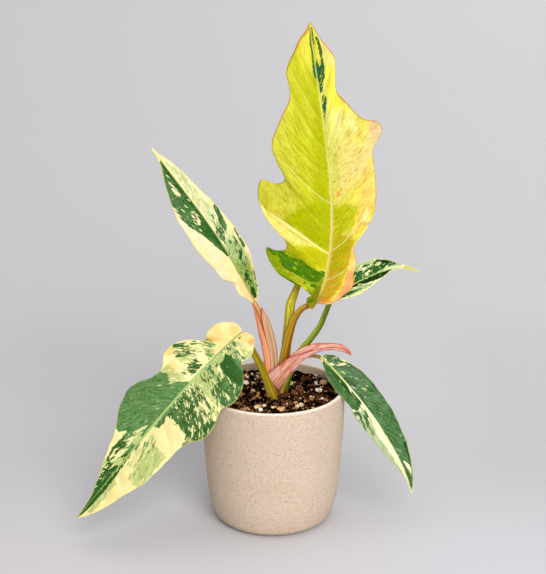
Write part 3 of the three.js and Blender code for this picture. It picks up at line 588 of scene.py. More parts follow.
leaves["front_leaf"] = {
    "midrib": [[-26.4, -8, 168.7], [-73.9, -30, 132.3], [-114.9, -50, 80.3], [-161.1, -66, 28.1]],
    "faces": [[-0.15, -0.55, 0.82], [-0.25, -0.6, 0.75]], "fold": [8, 8], "droop": 0.002, "rib": 2.6,
    "puff": 0.9,
    "veins": [
        [0, -3, 2, -2, 1.5], [1, -4.5, 7, -3, 5], [2.5, -4.5, 13, -2.5, 8], [4, 0, 17, 2, 14],
        [6, 5.5, 22, 9.5, 19], [8, 12.5, 23, 16.5, 20.5], [10, 17, 22, 21.5, 19], [12, 21, 27, 24, 18],
        [17, 25.5, 34, 30, 25.5], [22, 33, 39.5, 36, 32.5], [27.5, 41, 42.5, 45, 37],
        [34, 50.5, 42, 54.5, 37], [40, 57.5, 39, 61, 31.5], [45, 63, 42.5, 67, 28],
        [51, 70.5, 46.5, 75.5, 30.5], [57, 78.5, 48.5, 85.5, 38], [65, 87.5, 45.5, 94.5, 42],
        [74, 95, 39, 105, 40.5], [83, 100, 35, 115, 34.5], [97, 112.5, 32.5, 125.5, 26],
        [113, 128.5, 31.5, 138.5, 20], [131, 145.5, 29, 151.5, 15], [151, 162, 22.5, 166, 9.5],
        [174, 181, 15, 181.5, 3.5], [191, 194, 8, 194, 1.5], [203.5, 203.5, 0.5, 203.5, 0.5],
    ],
    "waves": [
        [-1, 4, 3.5, -3], [1, 4, 3.5, 4], [-1, 10, 3.5, -3], [-1, 15, 3, 3], [-1, 19, 3, -2], [1, 8, 2, -2],
        [1, 12, 3, 2], [1, 16, 3, -3], [1, 20, 3, 1.5],
    ],
    "mainVeins": [
        [(start, 0.15) for start in (-12, 0, 14, 30, 46, 62, 79, 97, 115, 134, 153, 172, 192, 212)],
        [(start, 0.15) for start in (-12, 0, 13, 29, 46, 63, 80, 98, 116, 135, 154, 173, 192, 212)],
    ],
    "midline": [
        [0, 0.9, (150, 150, 50)], [26, 0.9, (128, 148, 60)], [40, 1.3, (150, 182, 104)],
        [110, 1.2, (160, 188, 110)], [140, 0.8, (140, 170, 84)], [203, 0.3, (130, 150, 50)],
    ],
    "finish": "marbled", "fineness": 1.3, "streakSlope": 2.7, "streakFrom": [92, 104],
    "own": {"gloss": 0.45, "dark": (54, 104, 26), "darkMottleAndSheen": (108, 148, 90), "deep": (30, 82, 6)},
    "ground": (234, 227, 164), "pale": (170, 190, 114),
    "washes": [
        [(238, 214, 142), 5, 0, -6, 24, 0, 26, 24, 0, 24], [(244, 200, 122), 4, 1, -4, 8, -4, 9, 4, 3, 6],
        [(244, 190, 108), 4, 9, 15, 17, 17, 20, 24, 12, 25],
        [(242, 206, 128), 4, -16, -7, 0, -5, -2, 5, -16, 5],
        [(242, 186, 104), 1.6, -16, -7, -10, -6, -12, 3, -16, 5],
        [(150, 90, 40), 1.2, -14.5, -5.5, -11, -4, -12, 0, -15.6, -1],
        [(222, 218, 150), 3, -3, 5, -22, 5, -24, 14, -10, 13, -3, 12],
        [(244, 200, 108), 3, 18, 58, 26, 56, 25, 64, 17, 64], [(244, 190, 110), 3, 3, 25, 8, 29],
        [(244, 196, 104), 3, 30, 48, 37, 48, 37, 54, 31, 54],
        [(236, 226, 158), 5, -34, 92, -2, 92, -3, 200, -30, 160],
        [(238, 224, 148), 2, -18, 160, -10, 186, -8, 186, -12, 160],
    ],
    "marbling": {
        "dark": [
            [0.8, 0.8, -4, 1.6, -1.8, 1.6, -1.8, 5.5, -4, 5], [0.62, 2, -21, 13, -9, 13, -9, 19, -20, 20],
            [0.55, 2, -6, 9, -0.5, 9, -0.5, 24, -6, 21],
            [1.15, 1.6, -10, 20, -5, 22, -9, 26, -9, 32, -14, 36, -20, 34, -36, 35, -46, 30, -36, 21, -22,
                17],
            [0.74, 3, -20, 34, -46, 32, -46, 56, -36, 58, -20, 52],
            [0.36, 3, -0.8, 30, -20, 34, -20, 56, -0.8, 54], [0.56, 2, -12, 44, -5, 50],
            [0.5, 2, -10, 38, -3, 42],
            [0.72, 2, -0.6, 57, -18, 57, -30, 61, -50, 68, -52, 88, -40, 94, -0.6, 90],
            [0.44, 3, -20, 62, -42, 64, -42, 74, -20, 72],
            [0.12, 2.5, -46, 70, -40, 60, -30, 56, -18, 52, -1, 49, -1, 54, -18, 57, -30, 62, -40, 68],
            [1.0, 1.6, -33, 97, -30, 92, -20, 90, -10, 88, -5, 91, -4, 93, -7, 97, -6, 103, -3, 105, 0, 105,
                0, 84, -10, 82, -20, 85, -34, 90],
            [0.55, 3, -34, 92, -48, 78, -48, 98, -34, 102],
            [0.08, 3, -28, 120, -14, 120, -14, 148, -28, 150],
            [0.16, 3, -14, 112, -3, 112, -3, 140, -14, 142],
            [0.95, 1.0, 0, 140, -2.6, 146, -4.6, 166, -3.6, 190, 0, 204],
            [0.62, 1.0, 0, 116, -2.4, 120, -2.6, 150, 0, 152], [0.46, 2, 8, 22, 20, 22, 22, 29, 8, 28],
            [0.42, 2, 2, 28, 9, 34], [0.72, 1.6, 3, 41, 12, 41, 13, 47, 11, 53, 3, 53],
            [0.72, 1.6, 18, 30, 24, 31, 37, 45, 35, 48, 24, 37], [0.5, 2.5, 12, 34, 26, 40, 34, 52, 22, 50],
            [0.55, 1.6, 8, 54, 12, 60],
            [1.2, 1.6, 0.4, 59, 6, 62, 10, 66, 14, 70, 20, 66, 27, 68, 29, 72, 46, 84, 46, 104, 36, 118, 24,
                127, 19, 127, 17, 124, 15.5, 121, 12, 125, 9.5, 127, 7, 124, 5, 116, 0.4, 110],
            [0.06, 1, 3, 107, 5, 109, 7, 113, 10, 122, 9.6, 127, 8, 124, 5, 116],
            [0.85, 1.2, 0, 106, 3.2, 108, 3.4, 118, 0, 119],
            [0.95, 1.2, 0, 127, 4.4, 128, 4.2, 142, 0, 143],
            [0.86, 1.2, 9, 121, 14.4, 125, 15.4, 140, 12.4, 152, 8.6, 152],
            [0.62, 1.6, 4, 127, 10, 124, 10, 150, 5, 150],
            [0.1, 1.0, 4.4, 140, 6.6, 134, 8.6, 138, 8.4, 146, 5.6, 150, 4, 146],
            [0.1, 1.0, 10, 142, 11.6, 140, 12, 148, 10.4, 152],
            [1.2, 1.0, 0, 148, 3.4, 150, 6, 158, 8, 166, 8, 176, 4, 190, 0, 204],
            [0.85, 1.4, 5, 150, 10, 152, 9, 168, 7, 180, 6, 170],
        ],
        "pale": [
            [0.5, 3, -3, 5, -22, 5, -24, 14, -12, 22, -1, 22], [0.9, 2, -12, 13, -3.5, 21],
            [0.95, 2, -1, 23, -9, 23, -9, 35, -1, 36], [0.85, 3, -1, 36, -46, 34, -46, 58, -18, 58, -1, 58],
            [0.6, 4, -1, 58, -50, 62, -50, 92, -1, 92], [0.05, 1.5, -42, 68, -50, 68, -50, 84, -44, 82],
            [0.9, 2.5, -34, 92, -50, 78, -46, 100, -34, 104],
            [0.84, 3, -14, 116, -30, 116, -29, 152, -14, 150],
            [0.56, 3, -3, 110, -14, 112, -14, 142, -3, 144],
            [0.75, 1.6, -4, 158, -9.5, 160, -9, 190, -4, 196],
            [0.66, 2.5, 7, 21, 22, 21, 22, 29, 2, 35, 2, 28],
            [0.6, 3, 12, 34, 27, 36, 37, 50, 22, 52, 12, 50],
            [0.72, 3, 5, 58, 12, 58, 28, 60, 28, 72, 10, 70], [0.9, 2, 0, 105, 6, 108, 6, 152, 0, 152],
            [0.6, 2.5, 5, 126, 16, 126, 12, 172, 4, 190],
        ],
        "deep": [
            [0.9, 3, -1, 14, -14, 20, -40, 24, -36, 34, -8, 34],
            [0.6, 8, -2, 34, -50, 34, -50, 100, -2, 106], [0.7, 6, 2, 36, 40, 36, 40, 56, 2, 58],
            [0.3, 6, 3, 60, 28, 72, 24, 100, 3, 106], [0.95, 4, -5, 140, 14, 126, 16, 150, 6, 204, -5, 204],
        ],
        "flecks": [
            [0.03, 4, 2, 60, 46, 84, 40, 116, 2, 120], [0.4, 3, 34, 76, 46, 84, 44, 100, 38, 100, 32, 86],
            [0.3, 3, 2, 61, 14, 68, 16, 76, 2, 74], [0.12, 4, -2, 34, -50, 34, -50, 96, -2, 92],
            [0.5, 3, 3, 126, 14, 126, 12, 170, 3, 176],
        ],
    },
}
leaves["right_leaf"] = {
    "midrib": [[40, -2, 145.4], [54.3, -10, 132.4], [105.8, -22, 80.6], [116.3, -30, 33.3]],
    "faces": [[0.1, -0.55, 0.8], [0.45, -0.7, 0.55]], "fold": [20, 16], "droop": 0.002, "rib": 2,
    "puff": 0.4, "streakSlope": 3, "fineness": 1.7,
    "own": {
        "gloss": 0.22, "dark": (30, 76, 14), "darkMottleAndSheen": (84, 126, 74), "deep": (16, 64, 1),
        "margin": (196, 204, 120), "marginShare": 0.5,
    },
    "veins": [
        [0, 0, 1.5, 0.5, 1.5], [2.5, 2, 4.5, 3.5, 3], [5.5, 6.5, 8, 8, 6], [8.5, 13, 10.5, 13.5, 9],
        [11.5, 21, 13, 21.5, 12.5], [18.5, 31, 15.5, 31.5, 13], [29, 43.5, 16.5, 40, 12.5],
        [40, 59.5, 17, 47.5, 12.5], [49.5, 73.5, 16.5, 55, 16], [62, 86, 15, 67, 16.5],
        [76, 97.5, 13, 80, 15.5], [93, 109.5, 10, 96.5, 12.5], [110, 120.5, 7, 112, 7],
        [126, 130, 4, 127, 1.5], [140.5, 140.5, 0.5, 140.5, 0.5],
    ],
    "waves": [[-1, 5, 3, 1.5], [-1, 9, 3, -1.5], [1, 6, 2.5, -1.5], [1, 9.5, 2.5, 1.5]],
    "mainVeins": [evenVeins(-8, 12, 0.1), evenVeins(-10, 12.5, 0.08)],
    "midline": [
        [0, 0.9, (190, 190, 80)], [14, 1.0, (170, 186, 84)], [30, 0.7, (226, 226, 140)],
        [46, 0.6, (244, 240, 206)], [76, 0.5, (244, 240, 200)], [84, 0.35, (110, 140, 70)],
        [128, 0.3, (200, 210, 140)], [140, 0.2, (236, 214, 160)],
    ],
    "finish": "marbled", "ground": (234, 227, 188), "pale": (156, 184, 138),
    "washes": [
        [(238, 234, 190), 3, 0, 60, 6, 76, 6, 126, 0, 138],
        [(226, 226, 140), 3, 0, 0, -8, 4, -12, 18, -3, 12],
        [(226, 214, 130), 1.6, -0.5, 134, -3, 124, -9, 118, -8, 108, -10.5, 108, -6, 136],
        [(230, 160, 90), 0.8, 12, 20, 14, 24, 14, 34, 12.6, 34, 12, 28],
    ],
    "marbling": {
        "dark": [
            [1.2, 1.2, -0.4, 11, -3, 13, -6, 17, -12, 20, -22, 30, -22, 90, -5, 128, -1, 137, -0.2, 138],
            [0.62, 1.0, -12.5, 20, -9, 18, -3, 12.5, -3, 10, -10, 14.6],
            [0.8, 1.4, -1, 9, -10, 16, -10, 8, -4, 1, -1, 1],
            [0.1, 1.0, -6.4, 119, -3, 111.5, -2.4, 112.5, -2.8, 120, -3.6, 127.5, -5.2, 123],
            [1.2, 1.2, 0.6, 4, 4, 5, 9, 11, 12.5, 18, 15, 24, 14, 48, 10, 53, 4, 53, 0.6, 50],
            [0.1, 0.8, 0.4, 31, 1.4, 33, 2.4, 39, 1.4, 39, 0.4, 36],
            [0.8, 1, 0.4, 3, 1.2, 3, 1.4, 11, 0.4, 11],
            [0.5, 2, 1, 51, 8, 54, 18, 52, 18, 72, 8, 68, 2, 62],
            [0.66, 1.6, 2.6, 60, 6, 58.6, 9.6, 62, 10.6, 70, 7, 68],
            [0.75, 1.4, 9, 56, 16, 50, 17, 60, 12, 61],
            [0.05, 1.2, 2, 52, 8, 55.5, 9, 59.6, 6, 58.4, 2, 56.6],
            [0.62, 1.2, 9, 70, 12.5, 70, 14, 78, 11, 78],
        ],
        "pale": [
            [0.5, 2, 0, 2, -8, 4, -11, 16, 0, 12], [0.3, 2, 1, 2, 6, 6, 12, 16, 2, 10],
            [0.95, 2, 4, 54, 5.2, 66, 8.4, 81, 6.4, 99.5, 3.5, 119.5, 4.5, 122, 17, 92, 18, 62, 12, 58],
            [0.75, 2, 2, 58, 10, 60, 12, 74, 4, 68],
        ],
        "deep": [
            # the second patch here, left of the midrib from 26 to 40 along, is painted shade in a dent
            [0.6, 2, 0.4, 9, 5, 12, 6, 50, 0.4, 52], [0.9, 1.5, -5, 38, -2, 40, -1, 26, -3, 26, -5.4, 32],
            [0.7, 2, -1.4, 42, -5, 46, -4, 50, -1.4, 50],
            [0.8, 1, -9, 98, -13, 100, -17, 86, -16, 70, -15, 70, -15.6, 88, -8, 114, -4, 130, -1, 136, -5,
                132],
            [0.6, 1.5, -17, 60, -15.5, 60, -13, 28, -16, 30],
        ],
        "flecks": [
            [0.08, 3, -0.6, 14, -22, 30, -22, 90, -4, 130],
            [0.2, 4, -2, 14, -14, 20, -16, 62, -8, 70, -4, 40], [0.14, 3, 0.6, 10, 14, 26, 14, 48, 0.6, 50],
            [0.7, 2, 0.4, 42, 3, 42, 4, 54, 0.4, 54],
        ],
    },
}
leaves["back_leaf"] = {
    "midrib": [[53.5, 18, 193.6], [75, 34, 201.3], [106.2, 52, 213.5], [125.7, 58, 198.8]],
    "faces": [[0.05, -0.75, 0.66], [0.35, -0.6, 0.7]], "fold": [14, 14], "droop": 0.002, "rib": 1.8,
    "puff": 0.4, "streakSlope": 2.6, "fineness": 1.8,
    "own": {"gloss": 0.08, "dark": (14, 64, 6), "darkMottleAndSheen": (56, 106, 46), "deep": (4, 46, 0)},
    "veins": [
        [0, 0, 2.5, -2.5, 1.5], [1, 7, 9.5, -4, 5], [6, 15, 12.5, 3, 8], [11.5, 24.5, 12.5, 14.5, 10],
        [19.5, 35, 12.5, 24, 10], [32, 46.5, 12, 35.5, 8], [46, 56.5, 9, 48, 4.5], [60, 65, 4.2, 59.5, 0.8],
        [69, 73.5, 1.8, 68, 0.6], [77.5, 80, 0.9, 78, 0.5], [85.5, 85.5, 0.5, 85.5, 0.5],
    ],
    "waves": [[-1, 3, 2, 1.5], [-1, 6, 2, -1.5], [1, 3, 2, -1]],
    "mainVeins": [evenVeins(-9, 9, 0.12), evenVeins(-9, 9, 0.08)],
    "midline": [
        [0, 0.8, (150, 160, 60)], [30, 0.6, (140, 170, 70)], [60, 0.4, (150, 180, 90)],
        [85, 0.2, (216, 200, 100)],
    ],
    "finish": "marbled", "ground": (234, 230, 184), "pale": (148, 182, 122),
    "washes": [
        [(196, 182, 52), 2, -5, 69, 3, 69, 2, 90, -3, 90],
        [(236, 220, 130), 1.2, 9.6, 30, 8, 0, 5, -5, 6, -6, 12, 0, 12, 30],
    ],
    "marbling": {
        "dark": [
            [0.92, 1.2, 0, 6, -10, 18, -9.8, 40, -11.4, 46, -10, 54, -6, 66, -4, 66, -3, 52, 0, 42],
            [0.08, 1.0, -9.8, 22, -8.4, 24, -6.4, 34, -7, 42, -8.6, 44, -8.6, 36],
            [0.06, 1.0, -8.6, 46, -7, 44, -5.4, 46.5, -6.6, 50, -8.8, 50],
            [0.5, 1.2, -5, 20, -2, 20, -1, 36, -4, 34],
            [1.1, 1.0, 0.3, 6, 2, 12, 3.4, 20, 4.8, 28, 5.6, 38, 5, 46, 2.4, 52, 0.4, 58],
            [1.1, 1.0, 2, 0, 5, -4, 6.6, 8, 7, 18, 6.2, 22, 5, 16, 4, 10, 2.6, 6],
        ],
        "pale": [
            [0.7, 2, 0, 6, -10, 18, -10, 50, 0, 50], [0.8, 2, -8, 20, -13, 20, -13, 46, -9, 44],
            [0.6, 2, -2, 42, -7, 60, -3, 72, 0, 60], [0.95, 1.5, 1, 4, 8, 6, 8.6, 30, 6, 36, 2, 20],
            [0, 0.8, 1.4, 14, 3, 18, 4.4, 24, 6, 30, 6.8, 38, 6.2, 46, 3.4, 54, 4.6, 46, 5.2, 38, 4, 29, 2,
                21],
        ],
        "deep": [[1.0, 1.5, 0, 10, 6, 26, 6, 46, 0, 58], [0.9, 2, -6, 50, -12, 50, -7, 64]],
        "flecks": [[0.3, 3, -12, 6, -12, 60, 6, 56, 6, 0]],
    },
}
leaves["hidden_leaf"] = {
    "midrib": [[27, 27, 212], [29, 46, 246], [38, 72, 280], [50, 100, 292]],
    "faces": [[-0.1, -0.8, 0.55], [0.1, -0.45, 0.9]], "fold": [14, 14], "droop": 0.003, "rib": 2,
    "puff": 0.5, "streakSlope": 1.4,
    "veins": [
        [0, -2, 2, -2, 2], [2, 3, 7, 3, 7], [8, 14, 11.5, 14, 11], [18, 30, 14.5, 30, 14],
        [34, 48, 15, 48, 15], [54, 68, 13, 68, 13], [76, 87, 9, 87, 9], [95, 101, 4.5, 101, 4.5],
        [108, 110, 1.5, 110, 1.5], [115, 115, 0.5, 115, 0.5],
    ],
    "waves": [[-1, 3, 2.5, 2], [1, 5, 2.5, -2]],
    "mainVeins": [evenVeins(-8, 11, 0.2), evenVeins(-10, 11, 0.2)],
    "midline": [[0, 1.1, (180, 176, 80)], [60, 0.7, (176, 196, 110)], [115, 0.3, (200, 200, 110)]],
    "finish": "marbled", "ground": (240, 230, 140), "pale": (176, 196, 110),
    "washes": [[(244, 214, 120), 4, 0, -4, 12, 0, 12, 20, 0, 16]],
    "marbling": {
        "dark": [[0.9, 2.5, -1, 8, -14, 22, -14, 50, -1, 80], [0.6, 3, 2, 26, 14, 34, 12, 72, 2, 92]],
        "pale": [[0.65, 5, -14, 6, -16, 60, 0, 112, 14, 60, 12, 6]],
        "deep": [[0.5, 5, -6, 8, 6, 90]],
        "flecks": [[0.35, 4, -14, 6, 14, 100]],
    },
}

finishTones = {
    "caramel": {
        "dark": (58, 104, 2), "darkMottleAndSheen": (90, 132, 8), "deep": (44, 104, 60),
        "shade": (208, 196, 96), "shadeShare": 0.62, "cloud": 0.25,
        "light": (1.14, 1.15, 1.8, 1), "lightShare": 1.0,
        "vein": (246, 232, 152), "margin": (180, 112, 40), "marginShare": 0.8,
        "freckle": [(178, 120, 46), (232, 122, 52)], "fleck": (150, 180, 20),
        "under": (206, 206, 110), "underShare": 0.4, "gloss": 0.05, "paleShare": 0.6,
    },
    "marbled": {
        # on the marbled leaves the lighter green is bluish grey: partly their own mottle, partly painted
        # sheen
        "dark": (50, 94, 30), "darkMottleAndSheen": (86, 128, 70), "deep": (24, 70, 4),
        "shade": (240, 230, 196), "shadeShare": 0.5, "cloud": 0.5,
        "light": (1.05, 1.06, 1.3, 1), "lightShare": 0.6,
        "vein": (186, 204, 130), "margin": (232, 214, 120), "marginShare": 0.6,
        "freckle": [(226, 176, 100), (226, 176, 100)], "fleck": (206, 216, 124),
        "under": (206, 214, 164), "underShare": 0.4, "gloss": 0.3, "paleShare": 0.9,
    },
}


def midribFrame(leaf, along):
    # where the midrib is at a length along it, with its side, its face and its share of the whole length
    t = np.linspace(0, 1, 600)[:, None]
    weights = np.hstack([(1 - t) ** 3, 3 * t * (1 - t) ** 2, 3 * t * t * (1 - t), t ** 3])
    curve = weights @ np.array(leaf["midrib"], float)
    lengths = np.concatenate([[0], np.cumsum(np.linalg.norm(np.diff(curve, axis=0), axis=1))])
    u = np.clip(along / lengths[-1], 0, 1)

    def read(table):
        return np.stack([np.interp(u * lengths[-1], lengths, column) for column in table.T], axis=1)

    tangent = unit(read(np.gradient(curve, lengths, axis=0)))
    origin = read(curve) + tangent * (along - u * lengths[-1])[:, None]
    first, last = unit(np.array(leaf["faces"], float))
    face = squared(first + (last - first) * u[:, None], tangent)
    return origin, np.cross(tangent, face), face, u


def covered(patches, x, y):
    cover = np.zeros(len(x))
    for level, softness, *outline in patches:
        cover += (level - cover) * insideOf(outline, x, y, softness)
    return cover


def bladeShape(leaf):
    form = bladeForm

    def shape(x, y):
        row = evenRows(leaf["veins"], y)
        start, leftAlong, leftOut, rightAlong, rightOut = refined(leaf["veins"], row).T
        left = x < 0
        half = np.where(left, -1, 1)
        end = np.where(left, leftAlong, rightAlong)
        width = np.where(left, leftOut, rightOut)
        share = 1 - (1 - np.abs(x) ** form["round"][0]) ** form["round"][1]
        along = start + (end - start) * share ** form["bend"]
        out = width * share
        signed = half * out
        origin, side, face, _ = midribFrame(leaf, along)

        lift = np.tan(np.radians(np.where(left, *leaf["fold"]))) * out - leaf["droop"] * out ** 2
        for waveHalf, waveRow, reach, height in leaf["waves"]:
            near = np.clip(1 - ((row - waveRow) / reach) ** 2, 0, None)
            lift += np.where(half == waveHalf, height * near ** 2 * share ** 2, 0)
        vein, strength = np.zeros(len(x)), np.zeros(len(x))
        for number, chosen in enumerate((left, ~left)):
            starts, strengths = np.array(leaf["mainVeins"][number], float).T
            count = np.arange(len(starts))
            drift = leaf.get("veinDrift", (0, 0))[number]
            vein[chosen] = np.interp((start + drift * share)[chosen], starts, count)
            strength[chosen] = np.interp(vein[chosen], count, strengths)
        inset = np.clip(width / form["plainWidth"], 0, 1)
        quilt = np.abs(np.sin(np.pi * vein)) ** form["quilt"][0]
        quilt = quilt * np.sin(np.pi * np.clip(share, 0, 1)) ** form["quilt"][1]
        lift += leaf["puff"] * quilt * inset
        ripple = np.sin(along * 0.21 + half) + np.sin(along * 0.47 + out * 0.1 + 2 * half)
        lift += form["ripple"] * ripple * share ** 1.5 * inset
        ridge = np.exp(-(out / form["ribWidth"]) ** 2)
        lift += form["ribLift"] * ridge * inset
        points = origin + side * signed[:, None] + face * lift[:, None]
        body = form["thickness"] + leaf["rib"] * (1 - row / len(leaf["veins"])) * ridge * inset

        flow, down = start, out
        if "streakSlope" in leaf:
            slope = leaf["streakSlope"]
            steep = along > np.where(left, *leaf.get("streakFrom", (-99, -99)))
            flow = np.where(steep, (along - slope * out) / math.hypot(1, slope), flow)
            down = np.where(steep, (out + slope * along) / math.hypot(1, slope) * 0.7, down)
        cover = {kind: covered(patches, signed, along) for kind, patches in leaf["marbling"].items()}
        freckles = cover.get("freckles", np.zeros(len(x)))
        wash, strayWash = [np.tile(tone(leaf["ground"])[:3], (len(x), 1)) for _ in range(2)]
        for colour, softness, *outline in leaf["washes"]:
            for layer, stray in ((wash, -form["stray"]), (strayWash, form["stray"])):
                inside = insideOf(outline, signed, along + stray * share * (softness >= 1), softness)
                layer += (np.array(tone(colour)[:3]) - layer) * inside[:, None]
        places, ribHalves, ribColours = zip(*leaf["midline"])
        ribTones = zip(*[tone(colour)[:3] for colour in ribColours])
        marks = {
            "plan": (signed, width - out, body),
            "flow": (flow, down, along),
            "ribs": (vein, share, np.interp(along, places, ribHalves)),
            "cover": (cover["dark"], cover["pale"], freckles),
            "more": (cover["deep"], strength, cover["flecks"]),
            "wash": wash.T,
            "strayWash": strayWash.T,
            "ribTone": [np.interp(along, places, part) for part in ribTones],
        }
        return points, marks
    return shape


def bladeFinish(name, leaf, under=False):
    look = {**finishTones[leaf["finish"]], **leaf.get("own", {})}
    f = Finish(name, Specular_IOR_Level=look["gloss"] * (0.6 if under else 1.0))
    out, toMargin, _ = f.mark("plan")
    flow, down, _ = f.mark("flow")
    vein, share, ribHalf = f.mark("ribs")
    dark, pale, freckles = f.mark("cover")
    deep, veinStrength, flecks = f.mark("more")
    half = out.ease(-0.01, 0.01)
    across = flow + half * 500  # the two halves are marked apart
    fine = leaf.get("fineness", 1)
    blotch = f.strands(across * 0.38 * fine, down * 0.13 * fine, 1.5)
    teeth = f.strands(across * 0.95 * fine, down * 0.24 * fine, 8.5, 1)
    streak = f.strands(across * 1.7, down * 0.4, 14.5, 2, 0.6)
    thread = f.strands(across * 1.1, down * 0.16, 4.5)
    cloud = f.strands(across * 0.14, down * 0.12, 20)
    grain = f.strands(across * 0.95, down * 0.8, 2.5, 2, 0.7)
    pore = f.strands(across * 3.1, down * 2.4, 6.5, 2, 0.65)
    dash = f.cells(f.vector(across * 0.56, down * 0.19, 3.0))
    dot = f.cells(f.vector(across * 0.8, down * 0.62, 5.0))
    rough = (blotch - 0.5) * 2.3 + (teeth - 0.5) * 1.9 + (grain - 0.5) * 0.45

    def spots(cells, part, chance):
        # which cells show a spot of one kind
        return (f.split(cells.other(1))[part] + chance).ease(0.97, 1.03)

    # ground: washes, their shading and lighting along the fibres, pale tissue and freckles
    shading = thread.ease(0.5, 0.66) * 0.5 + cloud.ease(0.42, 0.68) * look["cloud"]
    shading = shading + grain.ease(0.5, 0.38) * 0.35 + streak.ease(0.48, 0.34) * 0.6
    lighting = grain.ease(0.54, 0.66) * 0.4 + thread.ease(0.46, 0.32) * 0.4 + streak.ease(0.52, 0.66) * 0.5
    paleMask = (pale + rough * 0.75 + (thread - 0.5) * 1.2).ease(0.45, 0.55) * pale.ease(0.0, 0.1)
    paleShade = grain.ease(0.5, 0.4) * 0.5 + thread.ease(0.5, 0.6) * 0.5
    rust = f.mix(*look["freckle"], half)
    ground = f.coats(
        f.paint("wash"),
        (f.paint("strayWash"), (thread + grain * 0.4).ease(0.6, 0.8)),
        (look["shade"], shading * look["shadeShare"], "MULTIPLY"),
        (look["light"], lighting * look["lightShare"], "MULTIPLY"),
        (f.mix(leaf["pale"], look["shade"], paleShade, "MULTIPLY"), paleMask * look["paleShare"]),
        (rust, dash.ease(0.42, 0.26) * spots(dash, 0, freckles) * (0.35 + freckles * 0.5)),
        (rust, dot.ease(0.4, 0.22) * spots(dot, 0, freckles * 0.5) * (0.4 + freckles * 0.3)))

    # dark tissue, with its deepest parts, its lighter mottle that is partly painted sheen, and the pale
    # flecks in it
    deepMask = (deep + (cloud - 0.5) * 0.8 + (grain - 0.5) * 0.5).ease(0.3, 0.8) * deep.ease(0.0, 0.15)
    fleckMask = dash.ease(0.36, 0.26) * spots(dash, 1, flecks * 1.2 - 0.2) * 0.85
    fleckMask = fleckMask.most(dot.ease(0.34, 0.2) * spots(dot, 1, flecks * 0.5) * 0.75)
    green = f.coats(
        look["dark"],
        # lighter mottle over the dark green: the tissue's own, and painted sheen on the marbled leaves
        (look["darkMottleAndSheen"], (thread * 0.4 + grain * 0.4 + pore * 0.2).ease(0.4, 0.6) * 0.9),
        (look["deep"], streak.ease(0.42, 0.3) * 0.6),
        (look["deep"], deepMask),
        (look["fleck"], fleckMask))
    darkMask = (dark + rough).ease(0.46, 0.54) * dark.ease(0.01, 0.06)
    halo = (dark + rough).ease(0.36, 0.5) * dark.ease(0.05, 0.2)

    # side veins, midrib and margin
    toVein = abs((vein + 0.5).fract() - 0.5)
    veinLine = toVein.ease(0.045, 0.015) * share.ease(1.02, 0.6) * veinStrength
    ribLine = abs(out).ease(1.1, 0.6) if under else (abs(out) / ribHalf).ease(1.1, 0.75)
    grooves = (abs(out) * 5.5 + 1.5).wave().ease(0.2, 1.0)
    colour = f.coats(
        ground,
        (leaf["pale"], halo * 0.3),
        (green, darkMask),
        (look["vein"], veinLine * (0.55 + grain * 0.5)),
        (f.mix(f.paint("ribTone"), look["vein"], grooves * 0.35), ribLine * 0.92),
        (look["margin"], toMargin.ease(0.6, 0.15) * look["marginShare"]))
    if under:
        colour = f.mix(colour, look["under"], look["underShare"])
    height = grain * 0.3 + pore * 0.3 + thread * 0.4 - veinLine * 1.2 - darkMask * 0.15
    f.show(Base_Color=colour, Roughness=0.34 + grain * 0.14 + (0.16 if under else 0.0))
    f.show(Normal=f.bump(height, 0.0004, 0.6))
    return f


def makeBlade(name, leaf):
    form = bladeForm
    length = np.linalg.norm(np.diff(np.array(leaf["midrib"], float), axis=0), axis=1).sum()
    bm = bentGrid(form["columns"], int(length * form["rowsPerLength"]), bladeShape(leaf))
    layer = bm.verts.layers.float_vector["plan"]
    body = [vert[layer][2] for vert in bm.verts]
    finishes = [bladeFinish(name + "_upper", leaf), bladeFinish(name + "_under", leaf, under=True)]
    slot = "caramel_blade" if leaf["finish"] == "caramel" else "marbled_blade"
    blade = makePiece(name + "_sheet", bm, finishes, [name + "_blade"])
    thickest = max(body)
    group = blade.vertex_groups.new(name="body")
    for index, depth in enumerate(body):
        group.add([index], depth / thickest, "REPLACE")
    wall = addWall(blade, thickest, -1, under=1)
    wall.vertex_group = "body"
    print(name, "made,", len(blade.data.polygons), "faces on its upper side")


# Stalks. Each row of a route is a point in the stalk's middle, then its width and depth. The groove is on
# the side that "face" says. "tones" run from its foot to the leaf.

stalkForm = {
    "columns": 32,
    "rowsPerPoint": 12,
    "deepest": 0.42,  # share of the depth that a groove may take
    "probe": 0.2,  # how many rows before and after, to find which way it runs
}

